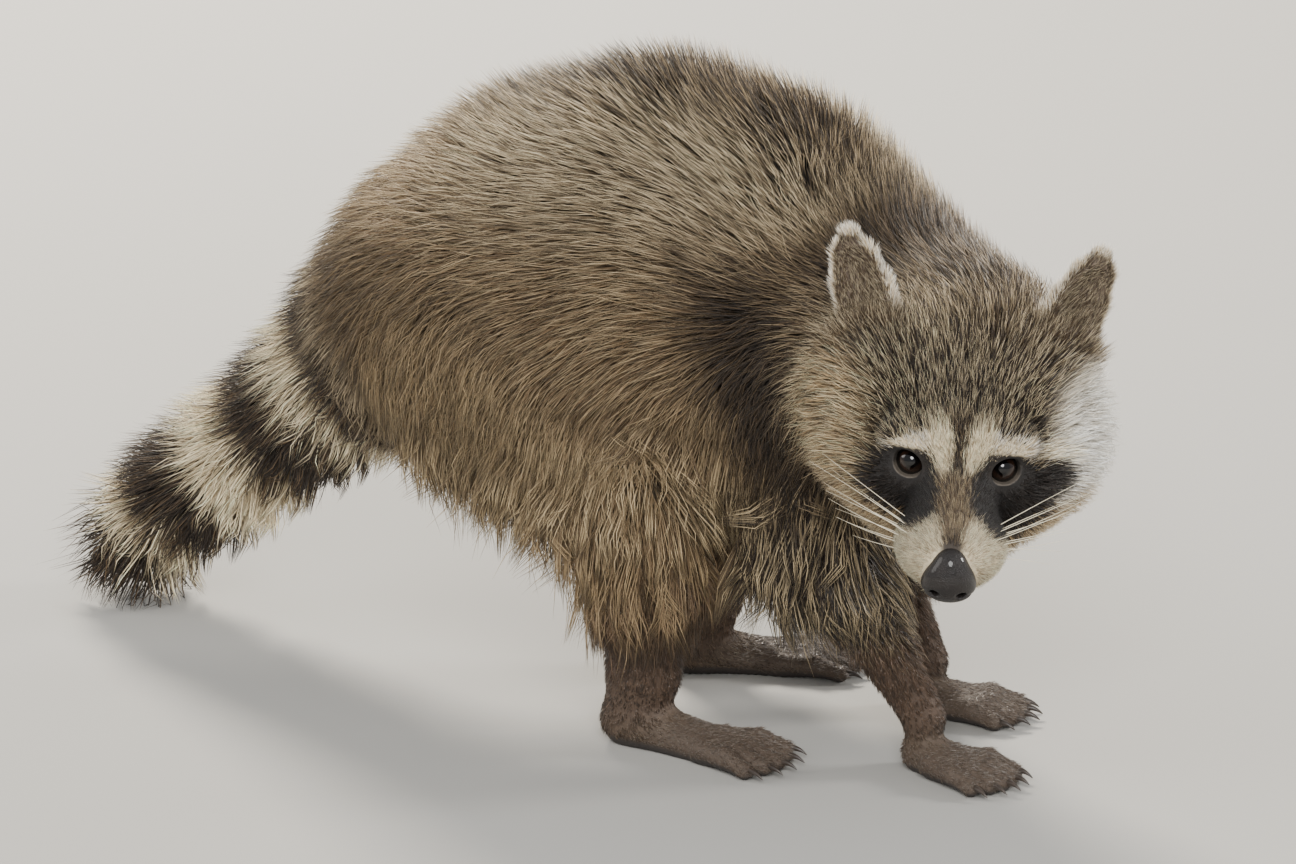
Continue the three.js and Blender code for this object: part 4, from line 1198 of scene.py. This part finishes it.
# Pieces of the body and the tail: (name, from, to) along x, and along the tail.
BODY_LENGTHS = (("rump", -400, -48), ("flank", -48, 28), ("shoulder", 28, 92), ("neck", 92, 400))
TAIL_LENGTHS = (("root", -99, 90), ("middle", 90, 165), ("tip", 165, 999))


def coat_pieces():
    """Name, tufts, slot, and the line that each piece's skin is unwrapped round."""
    x, y, _ = roots.T
    head = to_head(roots)
    for side, s in SIDES.items():
        on = (y - MIDLINE) * s > 0
        for part, low, high in BODY_LENGTHS:
            yield f"{part}_{side}", of_body & on & (x >= low) & (x < high), "coat", (0, 0, 200), (1, 0, 0)
        on = head[:, 1] * s > 0
        middle = in_head((FACE_BACK, 0, 0))
        yield f"face_{side}", of_face & on & (head[:, 0] > FACE_BACK), "face", middle, HEAD[0]
        yield f"crown_{side}", of_face & on & (head[:, 0] <= FACE_BACK), "face", middle, HEAD[0]
        root, tip, *_ = ear_frame(s)
        yield f"ear_{side}", kind_is["ear"] & on, "ear", root, tip - root
    for name, leg, nearest in nearest_legs():
        (*_, ankle) = leg["joints"]
        yield f"{name.replace('_', 'leg_')}", kind_is["shank"] & nearest, "leg", ankle, (0, 0, 1)
        yield f"{name.replace('_', 'paw_')}", kind_is["foot"] & nearest, "paw", ankle, (1, 0, 0.01)
    place = along_tail(roots)
    for part, low, high in TAIL_LENGTHS:
        here = kind_is["tail"] & (place >= low) & (place < high)
        yield f"tail_{part}", here, "tail", TAIL[2][0], TAIL_WAY


TUFT_SIZES = {1: "short", 2: "middle", 3: "long"}
FEWEST = 20  # a piece of fewer tufts than this is left out
for name, here, slot, centre, axis in coat_pieces():
    for k, size in TUFT_SIZES.items():
        chosen = np.flatnonzero(here & (segments == k))
        if len(chosen) >= FEWEST:
            piece = tuft_piece(f"coat_{name}_{size}", chosen, k, np.asarray(centre, float), axis)
            finish_piece(piece, wet_look if slot in ("leg", "paw") else coat_look, slot)

# ---------------------------------------------------------------- eyes
GAZE = unit(np.array((0.88, 0.0, 0.42)) @ HEAD)
EYE_RINGS, EYE_SEGMENTS = 40, 56
LID_GAP, CORNEA_BULGE, CORNEA_EDGE = 0.35, 0.55, math.radians(50)
PUPIL, IRIS, WHITE_OF_EYE = linear(5, 4, 4), linear(30, 19, 13), linear(9, 7, 6)


def eyeball(s):
    """A ball with the clear bulge of the cornea towards the gaze; the pole lies in the gaze."""
    side = unit(np.cross((0, 0, 1.0), GAZE))
    base = np.stack([side, np.cross(GAZE, side), GAZE])
    points, colours = [], []
    for i in range(EYE_RINGS + 1):
        angle = math.pi * (i / EYE_RINGS) ** 1.2
        bulge = CORNEA_BULGE * max(0.0, math.cos(min(angle / CORNEA_EDGE, 1) * math.pi / 2)) ** 1.3
        degrees = math.degrees(angle)
        iris = IRIS * (0.5 + 0.8 * smooth(degrees, 22, 42))
        colour = mix(PUPIL, iris, smooth(degrees, 24, 30))
        colour = mix(colour, WHITE_OF_EYE, smooth(degrees, 46, 52))
        across = math.sin(angle)
        for j in range(1 if i in (0, EYE_RINGS) else EYE_SEGMENTS):
            around = 2 * math.pi * j / EYE_SEGMENTS
            local = np.array((across * math.cos(around), across * math.sin(around), math.cos(angle)))
            points.append(EYE_AT[s] + (local * (EYEBALL - LID_GAP + bulge)) @ base)
            colours.append(colour)
    end = len(points) - 1

    def place(i, j):
        return min(end, 1 + (i - 1) * EYE_SEGMENTS + j % EYE_SEGMENTS) if i else 0

    faces = []
    for i in range(EYE_RINGS):
        for j in range(EYE_SEGMENTS):
            a, b, c, d = place(i, j), place(i + 1, j), place(i + 1, j + 1), place(i, j + 1)
            if i == 0:
                faces.append((a, b, c))
            elif i == EYE_RINGS - 1:
                faces.append((a, b, d))
            else:
                faces += [(a, b, c), (a, c, d)]
    side = "left" if s == LEFT else "right"
    made = mesh_object(f"eyeball_{side}", np.array(points), faces)
    give_colours(made, np.array(colours), "Eye")
    return finish_piece(made, eye_look, "eye", f"eye_{side}")


for s in BOTH:
    eyeball(s)


# ---------------------------------------------------------------- nose
NOSE_ROOM, NOSE_CELL = 18.0, 0.6
nose_middle = in_head((49, 0, -25))
nose_points, nose_faces = surface(nose_form, nose_middle - NOSE_ROOM, nose_middle + NOSE_ROOM, NOSE_CELL)
nose_piece = mesh_object("nose_pad", nose_points, nose_faces)
finish_piece(nose_piece, nose_look, "nose", "nose")


# ---------------------------------------------------------------- whiskers and claws
def bristle_tree():
    """Turns lines into solid tapering rods whose radius at each point is the attribute "thick"."""
    tree = bpy.data.node_groups.new("tapering_rods", "GeometryNodeTree")
    tree.interface.new_socket("Geometry", in_out="INPUT", socket_type="NodeSocketGeometry")
    sides = tree.interface.new_socket("Sides", in_out="INPUT", socket_type="NodeSocketInt")
    finish = tree.interface.new_socket("Finish", in_out="INPUT", socket_type="NodeSocketMaterial")
    tree.interface.new_socket("Geometry", in_out="OUTPUT", socket_type="NodeSocketGeometry")
    start, end, line, thick, circle, sweep, real, coated = [tree.nodes.new(kind) for kind in (
        "NodeGroupInput", "NodeGroupOutput", "GeometryNodeMeshToCurve", "GeometryNodeInputNamedAttribute",
        "GeometryNodeCurvePrimitiveCircle", "GeometryNodeCurveToMesh", "GeometryNodeRealizeInstances",
        "GeometryNodeSetMaterial")]
    thick.data_type = "FLOAT"
    thick.inputs["Name"].default_value = "thick"
    circle.inputs["Radius"].default_value = 1.0
    sweep.inputs["Fill Caps"].default_value = True
    for source, given, target, taken in (
            (start, "Geometry", line, "Mesh"), (start, "Sides", circle, "Resolution"),
            (line, "Curve", sweep, "Curve"), (circle, "Curve", sweep, "Profile Curve"),
            (thick, "Attribute", sweep, "Scale"), (sweep, "Mesh", real, "Geometry"),
            (real, "Geometry", coated, "Geometry"), (start, "Finish", coated, "Material"),
            (coated, "Geometry", end, "Geometry")):
        tree.links.new(source.outputs[given], target.inputs[taken])
    return tree, sides.identifier, finish.identifier


RODS, RODS_SIDES, RODS_FINISH = bristle_tree()


def rods(name, lines, radii, sides, look):
    """lines: arrays of points in millimetres; radii: the same number of radii for each."""
    mesh = bpy.data.meshes.new(name + "_lines")
    points = np.concatenate(lines)
    edges, first = [], 0
    for line in lines:
        edges += [(first + i, first + i + 1) for i in range(len(line) - 1)]
        first += len(line)
    mesh.from_pydata(metres(points).tolist(), edges, [])
    attribute = mesh.attributes.new("thick", "FLOAT", "POINT")
    attribute.data.foreach_set("value", (np.concatenate(radii) * MM).astype(np.float32))
    source = bpy.data.objects.new(name + "_source", mesh)
    bpy.context.scene.collection.objects.link(source)
    modifier = source.modifiers.new("rods", "NODES")
    modifier.node_group = RODS
    modifier[RODS_SIDES] = sides
    modifier[RODS_FINISH] = look
    bpy.context.view_layer.update()
    evaluated = source.evaluated_get(bpy.context.evaluated_depsgraph_get())
    plain = bpy.data.meshes.new_from_object(evaluated)
    plain.name = name
    bpy.data.objects.remove(source)
    made = bpy.data.objects.new(name, plain)
    bpy.context.scene.collection.objects.link(made)
    made.data.polygons.foreach_set("use_smooth", np.full(len(plain.polygons), True))
    return made


WHISKER_ROWS, WHISKER_POINTS, WHISKER_RADIUS = 4, 14, 0.14
CLAW_POINTS, CLAW_LENGTH, CLAW_RADIUS = 9, 9.5, 1.75


def whiskers():
    """Four rows on each pad, swept back, the upper ones rising and the lowest drooping."""
    lines, radii = [], []
    t = np.linspace(0, 1, WHISKER_POINTS)[:, None]
    for s in BOTH:
        for row in range(WHISKER_ROWS):
            for k in range(2 if row == WHISKER_ROWS - 1 else 3):
                start = in_head((34 - 6.5 * k - 1.5 * row, s * (20.5 + 1.5 * k), -15.5 - 4.0 * row + 1.0 * k))
                size = 54 - 6 * row - 5 * (k == 0) + rng.uniform(-5, 4)
                back = -0.42 - 0.13 * k - 0.06 * row + rng.uniform(-0.08, 0.08)
                rising = 0.34 - 0.20 * row + rng.uniform(-0.06, 0.06)
                way = unit(np.array((back, s, rising))) @ HEAD
                bend = HEAD[0] * rng.uniform(-9, -3) + np.array((0, 0, -1.0)) * rng.uniform(1, 5)
                lines.append(start + way * (t - 0.06) * size + bend * t ** 2.2)
                radii.append((WHISKER_RADIUS * (1 - t ** 1.5) + 0.04)[:, 0])
    return rods("whiskers", lines, radii, 6, whisker_look)


def claws():
    """A short curved claw on each toe, kept over the floor."""
    lines, radii = [], []
    t = np.linspace(0, 1, CLAW_POINTS)[:, None]
    for tip, way in CLAW_ROOTS:
        way = unit(way)
        start = tip + way * 1.2 + (0, 0, 0.6)
        line = start + way * CLAW_LENGTH * t + np.array((0, 0, 1.0)) * (1.2 * np.sin(t * 2.2) - 2.6 * t ** 2)
        line[:, 2] = np.maximum(line[:, 2], 0.9)
        lines.append(line)
        radii.append((CLAW_RADIUS * (1 - t) ** 0.8 + 0.18)[:, 0])
    return rods("claws", lines, radii, 10, horn_look)


finish_piece(whiskers(), None, "whisker")
finish_piece(claws(), None, "claw")

# ---------------------------------------------------------------- floor, light and camera
FLOOR_RADIUS, FLOOR_SIDES = 9.0, 96


def studio_floor():
    """A wide pale disc, so that the animal can be seen from every side."""
    turns = np.linspace(0, 2 * math.pi, FLOOR_SIDES, endpoint=False)
    ring = [(FLOOR_RADIUS * math.cos(a), FLOOR_RADIUS * math.sin(a), 0.0) for a in turns]
    mesh = bpy.data.meshes.new("studio_floor")
    mesh.from_pydata(ring, [], [tuple(range(FLOOR_SIDES))])
    made = bpy.data.objects.new("studio_floor", mesh)
    bpy.context.scene.collection.objects.link(made)
    pale = material("pale_floor", linear(172, 170, 165), (3, 3), (0.99, 1.01), {"Roughness": 0.9})
    mesh.materials.append(pale)


def soft_light(name, place, aim, size, power, colour):
    data = bpy.data.lights.new(name, "AREA")
    data.shape, data.size, data.energy, data.color = "DISK", size, power, colour
    made = bpy.data.objects.new(name, data)
    made.location = place
    made.rotation_euler = (Vector(aim) - Vector(place)).to_track_quat("-Z", "Y").to_euler()
    bpy.context.scene.collection.objects.link(made)


studio_floor()
soft_light("key_behind", (-1.5, 1.4, 1.7), (-0.05, 0, 0.15), 0.8, 140, (1.0, 0.93, 0.82))
soft_light("fill_front", (1.7, -2.4, 1.8), (0.08, 0, 0.15), 1.5, 122, (1.0, 0.99, 0.97))
soft_light("rim_right", (2.3, 1.9, 1.3), (0.2, 0, 0.15), 0.7, 60, (1.0, 0.98, 0.95))
soft_light("fill_left", (-2.2, -1.6, 1.6), (0, 0, 0.15), 1.8, 34, (1.0, 0.97, 0.93))
world = bpy.data.worlds.new("studio_air")
world.use_nodes = True
world.node_tree.nodes["Background"].inputs["Color"].default_value = (0.86, 0.89, 0.93, 1)
world.node_tree.nodes["Background"].inputs["Strength"].default_value = 0.62
bpy.context.scene.world = world

CAMERA_TURN, CAMERA_RISE = math.radians(32), math.radians(18)
CAMERA_PLACE = (2005.0, -3227.0, 1370.0)
LENS = 240.6
looking = Vector((-math.sin(CAMERA_TURN) * math.cos(CAMERA_RISE),
                  math.cos(CAMERA_TURN) * math.cos(CAMERA_RISE), -math.sin(CAMERA_RISE)))
camera_data = bpy.data.cameras.new("camera")
camera_data.lens, camera_data.sensor_width = LENS, 36.0
camera = bpy.data.objects.new("camera", camera_data)
camera.location = metres(CAMERA_PLACE)
camera.rotation_euler = looking.to_track_quat("-Z", "Y").to_euler()
bpy.context.scene.collection.objects.link(camera)
bpy.context.scene.camera = camera
